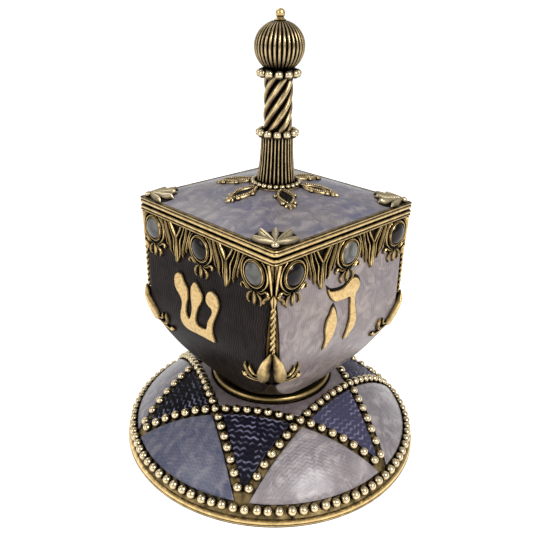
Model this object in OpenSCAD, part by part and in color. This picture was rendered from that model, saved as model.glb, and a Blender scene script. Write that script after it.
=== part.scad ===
// Enamelled trinket dreidel on a domed stand.
// The dreidel stands on its point in the cup of the stand and lifts out.
// It spins about +Z, and its lid, with the stem on it, lifts off the box.
// Origin: centre of the foot of the stand. Faces of the dreidel look along -Y, +X, +Y and -X.

/* [Stand] */
// Width of the border outside the tips of the star
star_border = 1.9; // [1.6:0.05:2.2]
// Height of the plain rim round the foot
foot_h = 1.5; // [1:0.1:2]
// Width of the step from the rim to the dome
foot_step = 0.8; // [0.5:0.1:1.2]
// Width of the flat crown of the dome outside the lip of the cup
crown_margin = 0.7; // [0.65:0.05:1]
// Height of the crown
crown_z = 13.9; // [13:0.1:14.2]
// How far the dome swells past a straight cone
dome_bulge = 1.8; // [1.2:0.1:2.4]
// Wall of the cast dome
stand_wall = 1.6; // [1.2:0.1:2]
// Distance from the crown to the lines of the star
star_clear = 2.05; // [1.95:0.05:2.4]
// Turn of the star
star_turn = 35.2; // [0:0.2:60]
// Thickness of the enamel on the dome
stand_enamel_t = 0.45; // [0.3:0.05:0.6]

/* [Beads] */
// Diameter of the beads on the dome
bead_d = 1.85; // [1.6:0.05:2]
// Least gap between neighbouring beads
bead_gap = 0.3; // [0.2:0.02:0.5]
// Distance from the edge of the foot to the line of the rim's beads
rim_bead_inset = 1.7; // [1.6:0.05:1.8]

/* [Cup] */
// Distance from the edge of the box's flat end to the middle of the lip
cup_lip_margin = 0.7; // [0.65:0.05:0.9]
// Thickness of the lip
cup_lip_d = 1.2; // [1:0.1:1.4]
// Wall of the cup
cup_wall = 1.2; // [1:0.1:1.5]
// Distance from the middle of the lip in to the hole in the dome
cup_bore_inset = 1.3; // [1.1:0.05:1.6]

/* [Dreidel box] */
// Half of the box's width over the bare metal
box_half = 18.25; // [17.8:0.05:18.6]
// How far the fullest part of the belly stands out of the walls
belly_swell = 0.45; // [0.3:0.05:0.6]
// Height of the straight walls over the swell
mouth_h = 9.2; // [8.8:0.1:10]
// Height of the swell, from the fullest part of the belly up
swell_h = 9.5; // [9:0.1:10.5]
// Height from the underside up to the fullest part of the belly
belly_h = 12.4; // [11.6:0.1:13]
// Height of the underside
under_h = 4.9; // [4.6:0.1:5.3]
// How far the box draws in where the belly has turned into the underside
turn_inset = 3.3; // [3:0.05:3.7]
// Height of the flat end of the box, on which the point is fixed, over the crown
end_rise = 2.3; // [2.1:0.05:2.6]
// Radius of that end
box_end_r = 11.6; // [11.4:0.05:11.8]
// How much the rounding takes off each upright corner, along its diagonal
corner_ease = 0.21; // [0.15:0.01:0.3]
// Wall of the cast box round the cavity
box_wall = 1.75; // [1.5:0.05:2.2]
// Thickness of the metal under the cavity
floor_t = 12.8; // [12:0.1:18]
// Radius of the upright corners of the cavity
cavity_corner_r = 2.5; // [2:0.1:4]
// Thickness of the enamel panels
panel_t = 0.38; // [0.3:0.02:0.44]
// Bare metal left between a panel and the corner
panel_margin = 1; // [0.95:0.05:1.4]

/* [Trim of the box] */
// Height of the gold band under the seam
band_h = 1.2; // [1:0.1:1.6]
// How far the band stands out of the walls
band_proud = 0.95; // [0.9:0.05:1.1]
// Thickness of the pierced frieze
frieze_t = 0.6; // [0.5:0.05:0.7]
// Distance from the middle of an outer stone to the side of the box
stone_inset = 3.85; // [3.75:0.05:4]
// Diameter over the bezel of a stone
bezel_d = 5.25; // [5.1:0.05:5.4]
// Thickness of the bezel's wall
bezel_wall = 0.55; // [0.45:0.05:0.65]
// How far the bezel stands out of the frieze
bezel_rise = 0.4; // [0.3:0.05:0.5]
// Length of the leaves under each stone
claw_len = 2.7; // [2.3:0.05:2.9]
// Length of the forked pendants between the stones
pendant_len = 7.8; // [7.4:0.05:8]
// Diameter of one strand of the corner ropes
rope_strand_d = 0.58; // [0.5:0.02:0.6]
// Length of rope in one full turn of its strands
rope_lead = 3.2; // [2.6:0.1:4]
// Length of the two-lobed pod on each corner
pod_len = 7.4; // [7:0.1:7.8]
// Width of one lobe of the pod
pod_w = 3; // [2.8:0.05:3.2]

/* [Point] */
// Depth of the point under the box
point_len = 10.8; // [10.2:0.1:11]
// Radius of the rounded end of the point
point_end_r = 0.8; // [0.6:0.05:1]
// Radius of the stud that carries the point in the box
stud_r = 2.5; // [2:0.1:3]
// Length of that stud
stud_len = 5; // [4:0.5:7]

/* [Lid] */
// Height of the lid's moulding
moulding_h = 1.3; // [1.2:0.05:1.5]
// Width of the moulding beside the enamel
moulding_w = 0.9; // [0.7:0.05:1.1]
// Rise of the pillow of enamel above the moulding
pillow_rise = 3.3; // [3:0.1:3.6]
// Thickness of the lid's plate
lid_plate_t = 1; // [0.9:0.05:1.2]
// Depth of the flange that locates the lid in the box
flange_h = 2.2; // [1.8:0.1:3]
// Wall of that flange
flange_wall = 1; // [0.8:0.1:1.3]
// Length of the leaves on the lid's corners
leaf_len = 6.4; // [5.8:0.1:6.6]
// Width of one lobe of such a leaf
leaf_w = 2; // [1.8:0.05:2.1]
// Length of the petals round the stem
petal_len = 6.2; // [5.8:0.1:6.6]
// Width of the petals
petal_w = 3; // [2.8:0.05:3.2]
// Thickness of the petals' frames
petal_t = 0.55; // [0.45:0.05:0.65]

/* [Stem] */
// Radius of the round seat of the stem on the lid
boss_r = 5; // [4.9:0.05:5.1]
// Radius of the fluted column at its foot
column_foot_r = 3.8; // [3.7:0.05:3.85]
// Radius of the fluted column at its top
column_top_r = 3.05; // [2.95:0.05:3.1]
// Height of the fluted column
column_h = 9.5; // [9:0.1:10]
// Flutes of the column
column_flutes = 28; // [24:2:30]
// Radius of the twisted column
twist_r = 2.7; // [2.6:0.05:2.8]
// Height of the twisted column
twist_h = 10.1; // [9.6:0.1:10.6]
// Strands of the twisted column
twist_strands = 7; // [6:1:8]
// Height in which a strand goes once round
twist_lead = 21; // [18:0.5:26]
// Diameter of the beads of the two collars
collar_bead_d = 1.56; // [1.5:0.02:1.6]
// Radius of the circle of those beads
collar_bead_r = 3.38; // [3.36:0.02:3.5]
// Beads in each collar
collar_beads = 12; // [10:1:12]
// Radius of the fluted globe
globe_r = 4.6; // [4.4:0.05:4.8]
// Height of the globe as a share of its width
globe_height_share = 0.98; // [0.9:0.01:1]
// Ribs of the globe
globe_ribs = 32; // [28:2:32]
// Diameter of the ball on top
finial_d = 1.7; // [1.5:0.05:1.8]
// Radius of the rod through the stem
rod_r = 1.2; // [1:0.05:1.3]

/* [Fits] */
// Gap between glued, soldered or pressed faces of one casting
seat_gap = 0.02; // [0.01:0.01:0.03]
// Gap between the point and its cup
cup_gap = 0.18; // [0.15:0.01:0.25]
// Gap between the lid's flange and the walls of the cavity
lid_gap = 0.2; // [0.15:0.01:0.3]
// Radial gap round the stud of the point
stud_gap = 0.05; // [0.03:0.01:0.08]
// Gap round the rod in the stem
rod_gap = 0.04; // [0.03:0.01:0.06]
// Width of the seam between the lid and the band
seam_gap = 0.25; // [0.2:0.01:0.35]

/* [Hidden] */
$fn = 48;

// Overrun of every cut
cut = 1;
// Root of two, from a half width to a half diagonal
diag = sqrt(2);

// Colours
gold = "#c8b27a";
dark_gold = "#8a7442";
periwinkle = "#8f93b0";
aubergine = "#2e2230";
navy = "#231f45";
mauve = "#7d7488";

// Radii of the stand, from the cup that fits the dreidel out to the foot, 64 across at these sizes
cup_lip_r = box_end_r + cup_lip_margin;
cup_bore_r = cup_lip_r - cup_bore_inset;
crown_r = cup_lip_r + crown_margin;
star_line = crown_r + star_clear;
star_r = 2 * star_line;
stand_r = star_r + star_border;
rim_bead_r = stand_r - rim_bead_inset;

// Levels and half widths of the box, from the crown up
box_end_z = crown_z + end_rise;
turn_z = box_end_z + under_h;
belly_z = turn_z + belly_h;
swell_z = belly_z + swell_h;
seam_z = swell_z + mouth_h;
belly_half = box_half + belly_swell;
turn_half = box_half - turn_inset;
corner_r = box_half * diag - corner_ease;
band_half = box_half + band_proud;
lid_half = band_half;
cavity_floor_z = box_end_z + floor_t;

// Arc of the dome: from the step of the foot up to the crown
dome_edge_r = stand_r - foot_step;
dome_chord = norm([dome_edge_r - crown_r, crown_z - foot_h]);
dome_arc_r = (dome_chord * dome_chord / 4 + dome_bulge * dome_bulge) / (2 * dome_bulge);
dome_out = [crown_z - foot_h, dome_edge_r - crown_r] / dome_chord;
dome_mid = [dome_edge_r + crown_r, foot_h + crown_z] / 2;
dome_centre = dome_mid - dome_out * (dome_arc_r - dome_bulge);
function dome_z(r) = dome_centre[1] + sqrt(pow(dome_arc_r, 2) - pow(r - dome_centre[0], 2));
function dome_tilt(r) = asin((r - dome_centre[0]) / dome_arc_r);

// Beads: as many as their least gap allows. A star line has three equal parts between its crossings
bead_strip = bead_d / 2 + seat_gap;
rim_bead_count = floor(2 * PI * rim_bead_r / (bead_d + bead_gap));
star_third_steps = floor(star_line * tan(60) / 3 / (bead_d + bead_gap));
star_bead_steps = 3 * star_third_steps;
star_bead_pitch = star_line * tan(60) / star_bead_steps;
rim_strip_r = rim_bead_r - bead_d * 0.4;

// Height of a bead's centre over its flat seat, as a share of its radius
bead_seat_share = 0.55;
star_bead_rise = bead_d / 2 * bead_seat_share + seat_gap;

// Cup and point
cup_floor_z = box_end_z - point_len - cup_gap;
point_top_r = box_end_r - cup_lip_d / 3;
point_z = box_end_z - point_len;
cup_lip_z = crown_z + cup_lip_d * 0.8;
cup_flange_r = crown_r - cup_lip_d * 0.1;
cup_neck_r = cup_bore_r - seat_gap;

// Outline of the box: a quadratic curve from the belly to the underside
belly_steps = 9;
belly_turn_z = turn_z + (belly_z - turn_z) * 0.6;
function curve(a, b, c, t) = a * pow(1 - t, 2) + b * 2 * t * (1 - t) + c * t * t;
function curve_points(a, b, c, steps) = [for (i = [0:steps]) curve(a, b, c, i / steps)];
function swell(s) = sin(90 * s);
swell_steps = 6;
function wall_points(out = 0) = concat(
    [[box_half + out, seam_z]],
    [for (i = [0:swell_steps]) let (s = i / swell_steps)
        [box_half + out + (belly_half - box_half) * swell(s), swell_z - (swell_z - belly_z) * s]],
    [for (i = [1:belly_steps]) curve([belly_half + out, belly_z], [belly_half + out, belly_turn_z],
        [turn_half + out, turn_z], i / belly_steps)],
    [[box_end_r + out + seat_gap, box_end_z]]);
function round_points(out = 0) = concat(
    [[corner_r + out, seam_z]],
    curve_points([corner_r + out, round_start_z], [corner_r + out - round_pull, round_turn_z],
        [box_end_r + out, box_end_z], belly_steps));
round_start_z = belly_z - (belly_z - turn_z) * 0.2;
round_turn_z = turn_z + (belly_z - turn_z) * 0.15;
round_pull = box_half * 0.05;

// Heights of the trim of the box
band_low_z = seam_z - band_h;
panel_low_z = box_end_z + (turn_z - box_end_z) * 0.1;
panel_face = box_half + seat_gap + panel_t;
frieze_back = panel_face + seat_gap;
frieze_end = band_half - panel_margin * 1.8;
bar_w = bezel_wall * 1.25;
bezel_r = bezel_d / 2;
stone_z = band_low_z - seat_gap - bezel_r;
stone_pitch = box_half - stone_inset;
pendant_z = band_low_z - pendant_len;
stone_r = bezel_r - bezel_wall - seat_gap;
stone_rise = stone_r * 0.5;
rope_low_z = belly_z + pod_len * 0.12;
drop_low_z = pendant_z - bar_w / 3;
drop_r = panel_margin * 0.85;
rope_high_z = drop_low_z - seat_gap;
pod_z = belly_z - pod_len * 0.33;

// Cavity
cavity_half = box_half - box_wall;

// Lid
lid_low_z = seam_z + seam_gap;
moulding_z = lid_low_z + moulding_h;
enamel_half = lid_half - moulding_w;
lid_top_z = moulding_z + pillow_rise;
flange_half = cavity_half - lid_gap;
plate_top_z = lid_low_z + lid_plate_t;
pillow_rings = 7;
pillow_sides = 48;
function pillow(s, t) = moulding_z + (lid_top_z - moulding_z) * (1 - s * s) * (1 - t * t);
petal_count = 6;
petal_turn = 58;
petal_start_r = boss_r + seat_gap;
petal_mid_r = petal_start_r + petal_len / 2;
pillow_curve_r = enamel_half * enamel_half / (2 * pillow_rise);
petal_lean = asin(petal_mid_r / pillow_curve_r);

// Stem, from the lid up
boss_z = lid_top_z;
foot_bead_d = boss_r * 0.2;
foot_bead_r = boss_r - foot_bead_d * 0.55;
foot_bead_count = 26;
column_z = boss_z + seat_gap;
column_end_z = column_z + column_h;
collar_plate_t = collar_bead_d * 0.4;
twist_z = column_end_z + collar_plate_t + seat_gap;
twist_end_z = twist_z + twist_h;
globe_h = globe_r * globe_height_share;
globe_seat_z = twist_end_z + collar_plate_t + seat_gap;
globe_cut = globe_h * 0.94;
globe_z = globe_seat_z + globe_cut;
neck_h = finial_d * 0.35;
neck_r = finial_d * 0.6;
rod_end_z = globe_z;
nut_h = flange_h * 0.8;
nut_r = rod_r * 2.1;

// Two crossed extrusions of one outline, so every level of the form is a square
module square_form(points) {
    span = 2 * (band_half + cut);
    mirrored = concat(points, [for (i = [len(points) - 1:-1:0]) [-points[i][0], points[i][1]]]);
    intersection() {
        rotate([90, 0, 0]) linear_extrude(span, center = true) polygon(mirrored);
        rotate([90, 0, 90]) linear_extrude(span, center = true) polygon(mirrored);
    }
}

// One extrusion of the outline along Y
module wall_form(points) {
    span = 2 * (band_half + cut);
    mirrored = concat(points, [for (i = [len(points) - 1:-1:0]) [-points[i][0], points[i][1]]]);
    rotate([90, 0, 0]) linear_extrude(span, center = true) polygon(mirrored);
}

module turned(points) {
    rotate_extrude() polygon(concat([[0, points[0][1]]], points, [[0, points[len(points) - 1][1]]]));
}

// Solid pointed at both ends, turned along Z from points on an arc
lemon_steps = 6;
module lemon(length, radius) {
    arc_r = (length * length / 4 + radius * radius) / (2 * radius);
    half_angle = asin(length / 2 / arc_r);
    rotate_extrude() polygon([for (i = [0:lemon_steps]) let (a = half_angle * (2 * i / lemon_steps - 1))
        [max(arc_r * cos(a) - arc_r + radius, 0), arc_r * sin(a)]]);
}

// Bead with a flat seat, standing on the plane z = 0
module bead(d) {
    rise = d / 2 * bead_seat_share;
    intersection() {
        translate([0, 0, rise + seat_gap]) sphere(d = d);
        translate([-d, -d, seat_gap]) cube(2 * d);
    }
}

// Flat face of the dreidel, with X along the face, Y up and Z outwards
module on_face(turn, out) {
    rotate([0, 0, turn]) translate([0, -out, 0]) rotate([90, 0, 0]) children();
}

// Dome

// Disc section of the dome, grown outwards
module dome_section(grow) {
    intersection() {
        translate(dome_centre) circle(r = dome_arc_r + grow, $fn = 180);
        square([stand_r, crown_z + stand_enamel_t + cut]);
    }
}

module stand_base() color(gold) difference() {
    union() {
        cylinder(h = foot_h, r = stand_r);
        rotate_extrude() intersection() {
            dome_section(0);
            square([dome_edge_r, crown_z]);
        }
    }
    rotate_extrude() difference() {
        dome_section(-stand_wall);
        translate([0, crown_z - stand_wall]) square([stand_r, stand_wall + cut]);
    }
    translate([0, 0, -cut]) cylinder(h = cut * 2, r = dome_edge_r - stand_wall * 1.5);
    cylinder(h = crown_z + cut, r = cup_bore_r);
}

module enamel_skin() rotate_extrude() difference() {
    dome_section(stand_enamel_t);
    dome_section(seat_gap);
    square([stand_r, foot_h]);
}

module star_triangle(line, turn) rotate([0, 0, star_turn + turn - 90])
    circle(r = 2 * line, $fn = 3);

module star_prism() linear_extrude(crown_z + stand_enamel_t + cut) children();

inner_line = star_line - bead_strip;
outer_line = star_line + bead_strip;

module enamel_star_points() color(navy) intersection() {
    enamel_skin();
    star_prism() for (t = [0, 60]) difference() {
        star_triangle(inner_line, t);
        star_triangle(outer_line, t + 60);
    }
    cylinder(h = crown_z + cut, r = rim_strip_r);
}

module enamel_lobes() color(periwinkle) intersection() {
    enamel_skin();
    star_prism() difference() {
        circle(r = rim_strip_r);
        star_triangle(outer_line, 0);
        star_triangle(outer_line, 60);
    }
}

module enamel_centre() color(mauve) intersection() {
    enamel_skin();
    star_prism() difference() {
        intersection() {
            star_triangle(inner_line, 0);
            star_triangle(inner_line, 60);
        }
        circle(r = crown_r + seat_gap);
    }
}

// Bead seated on the dome at a place in plan
module dome_bead(x, y) {
    r = norm([x, y]);
    rotate([0, 0, atan2(y, x)]) translate([r, 0, dome_z(r)])
        rotate([0, dome_tilt(r), 0]) bead(bead_d);
}

module rim_beads() color(gold) for (i = [0:rim_bead_count - 1]) {
    a = 360 * i / rim_bead_count;
    dome_bead(rim_bead_r * cos(a), rim_bead_r * sin(a));
}

// Centres lie over the lines in plan, so each bead's seat is a little nearer the axis.
// Each line gives up the crossing bead that the next line holds
module star_beads() color(gold) for (k = [0:5]) {
    turn = star_turn + 60 * k - 90;
    across = [cos(turn), sin(turn)] * star_line;
    along = [-sin(turn), cos(turn)] * star_bead_pitch;
    for (i = [1 - star_bead_steps:star_bead_steps - 1]) if (i != star_third_steps) {
        centre = across + along * i;
        r = norm(centre);
        seat = centre * (1 - star_bead_rise * sin(dome_tilt(r)) / r);
        dome_bead(seat[0], seat[1]);
    }
}

// Lip, seat and spout of the cup that holds the point
module stand_cup() color(dark_gold) {
    wall_cos = point_len / norm([point_top_r, point_len]);
    seat_r = point_top_r + cup_gap / wall_cos;
    difference() {
        union() {
            translate([0, 0, cup_floor_z - cup_wall])
                cylinder(h = crown_z - cup_floor_z + cup_wall, r1 = cup_wall * 2, r2 = cup_neck_r);
            translate([0, 0, crown_z + seat_gap]) cylinder(h = cup_lip_d / 2, r = cup_flange_r);
            translate([0, 0, crown_z - cup_wall]) cylinder(h = cup_wall + cup_lip_d / 2, r = cup_neck_r);
            translate([0, 0, cup_lip_z]) rotate_extrude()
                translate([cup_lip_r, 0]) circle(d = cup_lip_d);
        }
        translate([0, 0, cup_floor_z]) cylinder(h = box_end_z - cup_floor_z, r1 = 0, r2 = seat_r);
        translate([0, 0, cup_lip_z]) cylinder(h = cut, r = cup_lip_r - cup_lip_d / 3);
        translate([0, 0, point_z]) sphere(r = point_end_r + cup_gap);
    }
}

// Dreidel

// Cone that rests in the cup, with a stud up into the box
module spin_point() color(gold) {
    blunt = point_end_r * 2;
    difference() {
        translate([0, 0, point_z]) cylinder(h = point_len - seat_gap, r1 = 0, r2 = point_top_r);
        translate([-blunt, -blunt, point_z - blunt]) cube([2 * blunt, 2 * blunt, blunt + point_end_r]);
    }
    translate([0, 0, box_end_z - seat_gap]) cylinder(h = stud_len, r = stud_r);
}

module rounded_square(half, r) {
    for (m = [0, 90]) rotate(m) square([2 * half, 2 * (half - r)], center = true);
    for (x = [-1, 1], y = [-1, 1]) translate([x * (half - r), y * (half - r)]) circle(r = r);
}

module box_shell() color(dark_gold) difference() {
    intersection() {
        square_form(wall_points());
        turned(round_points());
    }
    translate([0, 0, cavity_floor_z]) linear_extrude(seam_z - cavity_floor_z + cut)
        rounded_square(cavity_half, cavity_corner_r);
    translate([0, 0, box_end_z - cut])
        cylinder(h = stud_len + cut + stud_gap, r = stud_r + stud_gap);
}

// Enamel skin of one face, between its corners, the band and the underside
module face_panel(turn) rotate([0, 0, turn]) intersection() {
    rotate([0, 0, 90]) difference() {
        wall_form(wall_points(seat_gap + panel_t));
        wall_form(wall_points(seat_gap));
    }
    wall_form([for (p = wall_points()) [p[0] - panel_margin, p[1]]]);
    turned(round_points());
    translate([-band_half, -2 * band_half, panel_low_z])
        cube([2 * band_half, 2 * band_half, band_low_z - seat_gap - panel_low_z]);
}

module panel_shin() color(aubergine) face_panel(0);
module panel_hei() color(periwinkle) face_panel(90);
module panel_gimel() color(aubergine) face_panel(180);
module panel_nun() color(periwinkle) face_panel(270);

// Band with a groove and a rounded lower edge, made as one square moulding
module rim_band() color(gold) {
    groove = band_h * 0.12;
    step = (band_half - box_half) * 0.3;
    difference() {
        square_form([[band_half, seam_z], [band_half, seam_z - band_h * 0.3],
            [band_half - step, seam_z - band_h * 0.3 - groove],
            [band_half - step, seam_z - band_h * 0.5 - groove],
            [band_half, seam_z - band_h * 0.5 - 2 * groove], [band_half, band_low_z + groove],
            [band_half - step, band_low_z]]);
        intersection() {
            square_form(wall_points(seat_gap));
            turned(round_points(seat_gap));
        }
    }
}

// Pierced frieze

module bar_arc(x, y, r, a0, a1) translate([x, y]) intersection() {
    difference() {
        circle(r = r + bar_w / 2);
        circle(r = r - bar_w / 2);
    }
    far = 2 * r + bar_w;
    polygon([[0, 0], [cos(a0), sin(a0)] * far, [cos((a0 + a1) / 2), sin((a0 + a1) / 2)] * far,
        [cos(a1), sin(a1)] * far]);
}

module drop_shape(length, width) {
    r = (length * length / 4 + width * width / 4) / width;
    intersection() {
        translate([r - width / 2, 0]) circle(r = r, $fn = 96);
        translate([width / 2 - r, 0]) circle(r = r, $fn = 96);
    }
}

// Forked pendant between two stones, hung from the band
module pendant() {
    h = band_low_z - pendant_z;
    fork_w = stone_pitch * 0.13;
    outer_w = stone_pitch * 0.24;
    translate([0, pendant_z + h * 0.24]) drop_shape(h * 0.48, bar_w * 2.4);
    for (s = [-1, 1]) {
        polygon([[0, pendant_z + h * 0.3], [s * bar_w / 2, pendant_z + h * 0.36],
            [s * (fork_w + bar_w), band_low_z], [s * fork_w, band_low_z],
            [0, pendant_z + h * 0.55]]);
        polygon([[s * bar_w / 2, pendant_z + h * 0.12], [s * bar_w * 1.5, pendant_z + h * 0.2],
            [s * (outer_w + bar_w * 0.3), pendant_z + h * 0.6],
            [s * (outer_w + bar_w * 1.1), band_low_z], [s * (outer_w + bar_w * 0.1), band_low_z],
            [s * (outer_w - bar_w * 0.6), pendant_z + h * 0.6],
            [s * bar_w * 0.4, pendant_z + h * 0.3]]);
    }
}

// Hoop, side scrolls and three leaves that hold a stone
module stone_mount() {
    hoop = bezel_r + seat_gap + bar_w / 2;
    bar_arc(0, stone_z, hoop, -60, 60);
    bar_arc(0, stone_z, hoop, 120, 240);
    bar_arc(0, stone_z, hoop, 230, 310);
    for (a = [-42, 0, 42]) translate([0, stone_z]) rotate(a)
        translate([0, -bezel_r - bar_w / 2 - claw_len / 2]) drop_shape(claw_len, bar_w * 1.6);
}

module frieze_outline() intersection() {
    union() {
        for (i = [-1, 0, 1]) translate([i * stone_pitch, 0]) stone_mount();
        for (s = [-1, 1]) translate([s * stone_pitch / 2, 0]) pendant();
        translate([-frieze_end, band_low_z - bar_w]) square([2 * frieze_end, bar_w - seat_gap]);
    }
    translate([-frieze_end, 0]) square([2 * frieze_end, band_low_z - seat_gap]);
}

module frieze(turn) on_face(turn, frieze_back) linear_extrude(frieze_t) difference() {
    frieze_outline();
    for (i = [-1, 0, 1]) translate([i * stone_pitch, stone_z]) circle(r = bezel_r + seat_gap);
}

module frieze_shin() color(gold) frieze(0);
module frieze_hei() color(gold) frieze(90);
module frieze_gimel() color(gold) frieze(180);
module frieze_nun() color(gold) frieze(270);

// Calls its children at every stone of one kind; stones alternate round the box
module at_stones(kind) for (f = [0:3], i = [-1:1]) if ((f + i + 1) % 2 == kind || kind == 2)
    on_face(90 * f, frieze_back) translate([i * stone_pitch, stone_z, 0]) children();

module bezels() color(gold) at_stones(2) difference() {
    cylinder(h = frieze_t + bezel_rise, r = bezel_r);
    translate([0, 0, -cut]) cylinder(h = frieze_t + bezel_rise + 2 * cut, r = bezel_r - bezel_wall);
}

// Cabochon: a short drum under a round crown
module stone() {
    crown_r = (stone_r * stone_r + stone_rise * stone_rise) / (2 * stone_rise);
    drum = frieze_t + bezel_rise * 0.4;
    cylinder(h = drum, r = stone_r);
    translate([0, 0, drum]) intersection() {
        translate([0, 0, stone_rise - crown_r]) sphere(r = crown_r, $fn = 96);
        cylinder(h = stone_rise, r = stone_r);
    }
}

module dark_stones() color(aubergine) at_stones(1) stone();
module light_stones() color(periwinkle) at_stones(0) stone();

module at_corners() for (k = [0:3]) rotate([0, 0, 45 + 90 * k]) children();

// Leaf-shaped drop that hides the meeting of two friezes
module corner_drops() color(gold) at_corners()
    translate([corner_r + seat_gap, 0, (band_low_z - seat_gap + drop_low_z) / 2]) intersection() {
        translate([drop_r * 0.2, 0, 0]) lemon(band_low_z - seat_gap - drop_low_z, drop_r);
        translate([0, -2 * drop_r, -stone_z / 2]) cube([2 * drop_r, 4 * drop_r, stone_z]);
    }

module corner_ropes() color(gold) at_corners()
    translate([corner_r + rope_strand_d + seat_gap, 0, rope_low_z])
        linear_extrude(rope_high_z - rope_low_z, twist = -360 * (rope_high_z - rope_low_z) / rope_lead,
            slices = 22, $fn = 8)
            for (s = [-1, 1]) translate([s * rope_strand_d * 0.46, 0]) circle(d = rope_strand_d);

// Two fat lobes, one on each face, with a slit between them along the corner
pod_seat = belly_half + panel_t + 6 * seat_gap;
pod_tilt = 6;
module corner_pods() color(gold) {
    lobe_r = pod_w / 2;
    for (f = [0:3], s = [-1, 1]) on_face(90 * f, pod_seat)
        translate([s * (belly_half - lobe_r * 0.95), belly_z, 0]) rotate([pod_tilt, 0, 0])
            translate([0, pod_z - belly_z, 0]) rotate([0, 0, s * 6]) intersection() {
                translate([0, 0, -lobe_r * 0.4]) rotate([-90, 0, 0]) lemon(pod_len, lobe_r);
                translate([-pod_w, -pod_len, 0]) cube([2 * pod_w, 2 * pod_len, pod_w]);
            }
}

// Curled tendril on each side of a pod, ending in a small ball
module pod_scrolls() color(gold) {
    scroll_r = pod_w * 0.42;
    wire_r = pod_w * 0.1;
    reach = pod_w * 1.75;
    for (f = [0:3], s = [-1, 1]) on_face(90 * f, belly_half + panel_t + 2 * seat_gap + wire_r)
        translate([s * (belly_half - reach), pod_z - pod_len * 0.18]) mirror([(s + 1) / 2, 0, 0]) {
            rotate([0, 0, 200]) rotate_extrude(angle = 150)
                translate([scroll_r, 0]) circle(r = wire_r, $fn = 24);
            rotate([0, 0, 200]) translate([scroll_r, 0]) sphere(r = wire_r * 1.5);
        }
}

// Lid

// Plate, moulding, central boss and locating flange
module lid_plate() color(gold) {
    groove = moulding_h * 0.16;
    step = moulding_w * 0.35;
    difference() {
        union() {
            difference() {
                square_form([[lid_half, moulding_z], [lid_half, moulding_z - moulding_h * 0.35],
                    [lid_half - step, moulding_z - moulding_h * 0.35 - groove],
                    [lid_half - step, moulding_z - moulding_h * 0.45 - groove],
                    [lid_half, moulding_z - moulding_h * 0.45 - 2 * groove],
                    [lid_half, lid_low_z + groove], [lid_half - step, lid_low_z]]);
                translate([-enamel_half, -enamel_half, plate_top_z])
                    cube([2 * enamel_half, 2 * enamel_half, moulding_h + cut]);
            }
            translate([0, 0, plate_top_z]) cylinder(h = boss_z - plate_top_z, r = boss_r);
            translate([0, 0, lid_low_z - flange_h]) linear_extrude(flange_h) difference() {
                rounded_square(flange_half, cavity_corner_r);
                rounded_square(flange_half - flange_wall, cavity_corner_r);
            }
        }
        translate([0, 0, lid_low_z - cut])
            cylinder(h = boss_z - lid_low_z + 2 * cut, r = rod_r + rod_gap);
    }
}

// Pillow of enamel on the plate: rings that run from the round boss out to the square moulding
function pillow_edge(a) = (enamel_half - seat_gap) / max(abs(cos(a)), abs(sin(a)));
function pillow_point(r, a) = let (w = enamel_half - seat_gap, x = r * cos(a), y = r * sin(a))
    [x, y, pillow(x / w, y / w)];
module lid_enamel() color(periwinkle) {
    low_z = plate_top_z + seat_gap;
    inner = boss_r + seat_gap;
    top = [for (j = [0:pillow_rings], i = [0:pillow_sides - 1]) let (a = 360 * i / pillow_sides)
        pillow_point(inner + (pillow_edge(a) - inner) * j / pillow_rings, a)];
    low = [for (j = [0, 1], i = [0:pillow_sides - 1]) let (a = 360 * i / pillow_sides,
        r = j == 0 ? pillow_edge(a) : inner) [r * cos(a), r * sin(a), low_z]];
    rings = pillow_rings + 3;
    polyhedron(points = concat(top, low), faces = [for (j = [0:rings - 1], i = [0:pillow_sides - 1],
        h = [0, 1]) let (n = pillow_sides, k = (i + 1) % n, up = ((j + 1) % rings) * n, at = j * n)
        h == 0 ? [at + i, up + i, up + k] : [at + i, up + k, at + k]]);
}

// Fan of five lobes with a ball at the corner, lying on a slope that clears the pillow
module corner_leaves() color(gold) {
    lobe_r = leaf_w / 2;
    root = (enamel_half - seat_gap) * diag - lobe_r;
    reach = leaf_len + lobe_r;
    rise = pillow((root - leaf_len) / diag / enamel_half, (root - leaf_len) / diag / enamel_half)
        - moulding_z + 2 * seat_gap;
    at_corners() translate([root + lobe_r, 0, moulding_z + 2 * seat_gap]) rotate([0, atan(rise / reach), 0])
        intersection() {
            translate([-lobe_r, 0, lobe_r * 0.1]) {
                for (a = [-52, -26, 0, 26, 52]) rotate([0, 0, 180 + a]) rotate([0, 90, 0])
                    translate([0, 0, leaf_len / 2]) lemon(leaf_len, lobe_r);
                sphere(r = lobe_r);
            }
            translate([-2 * reach, -reach, 0]) cube([2 * reach, 2 * reach, leaf_w]);
        }
}

// Petals: pointed ovals round the boss, leaning with the pillow
module at_petals() for (k = [0:petal_count - 1]) rotate([0, 0, petal_turn - 90 + 60 * k])
    translate([petal_mid_r, 0, pillow_z(petal_mid_r) + seat_gap * 2])
        rotate([0, petal_lean, 0]) rotate([0, 0, 90]) children();
function pillow_z(r) = lid_top_z - r * r / (2 * pillow_curve_r) + pillow_slack;
pillow_slack = pillow_rise * 0.02;

module petal_frames() color(gold) at_petals() {
    linear_extrude(petal_t) difference() {
        drop_shape(petal_len, petal_w);
        drop_shape(petal_len * 0.68, petal_w * 0.56);
    }
}

module petal_enamel() color(navy) at_petals()
    linear_extrude(petal_t * 0.8) drop_shape(petal_len * 0.66, petal_w * 0.52);

// Stem

module bead_circle(z, r, d, count) for (i = [0:count - 1])
    rotate([0, 0, 360 * i / count]) translate([r, 0, z]) bead(d);

module rod_hole() translate([0, 0, lid_low_z])
    cylinder(h = rod_end_z - lid_low_z + rod_gap, r = rod_r + rod_gap);

module foot_beads() color(gold) bead_circle(boss_z, foot_bead_r, foot_bead_d, foot_bead_count);

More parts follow.
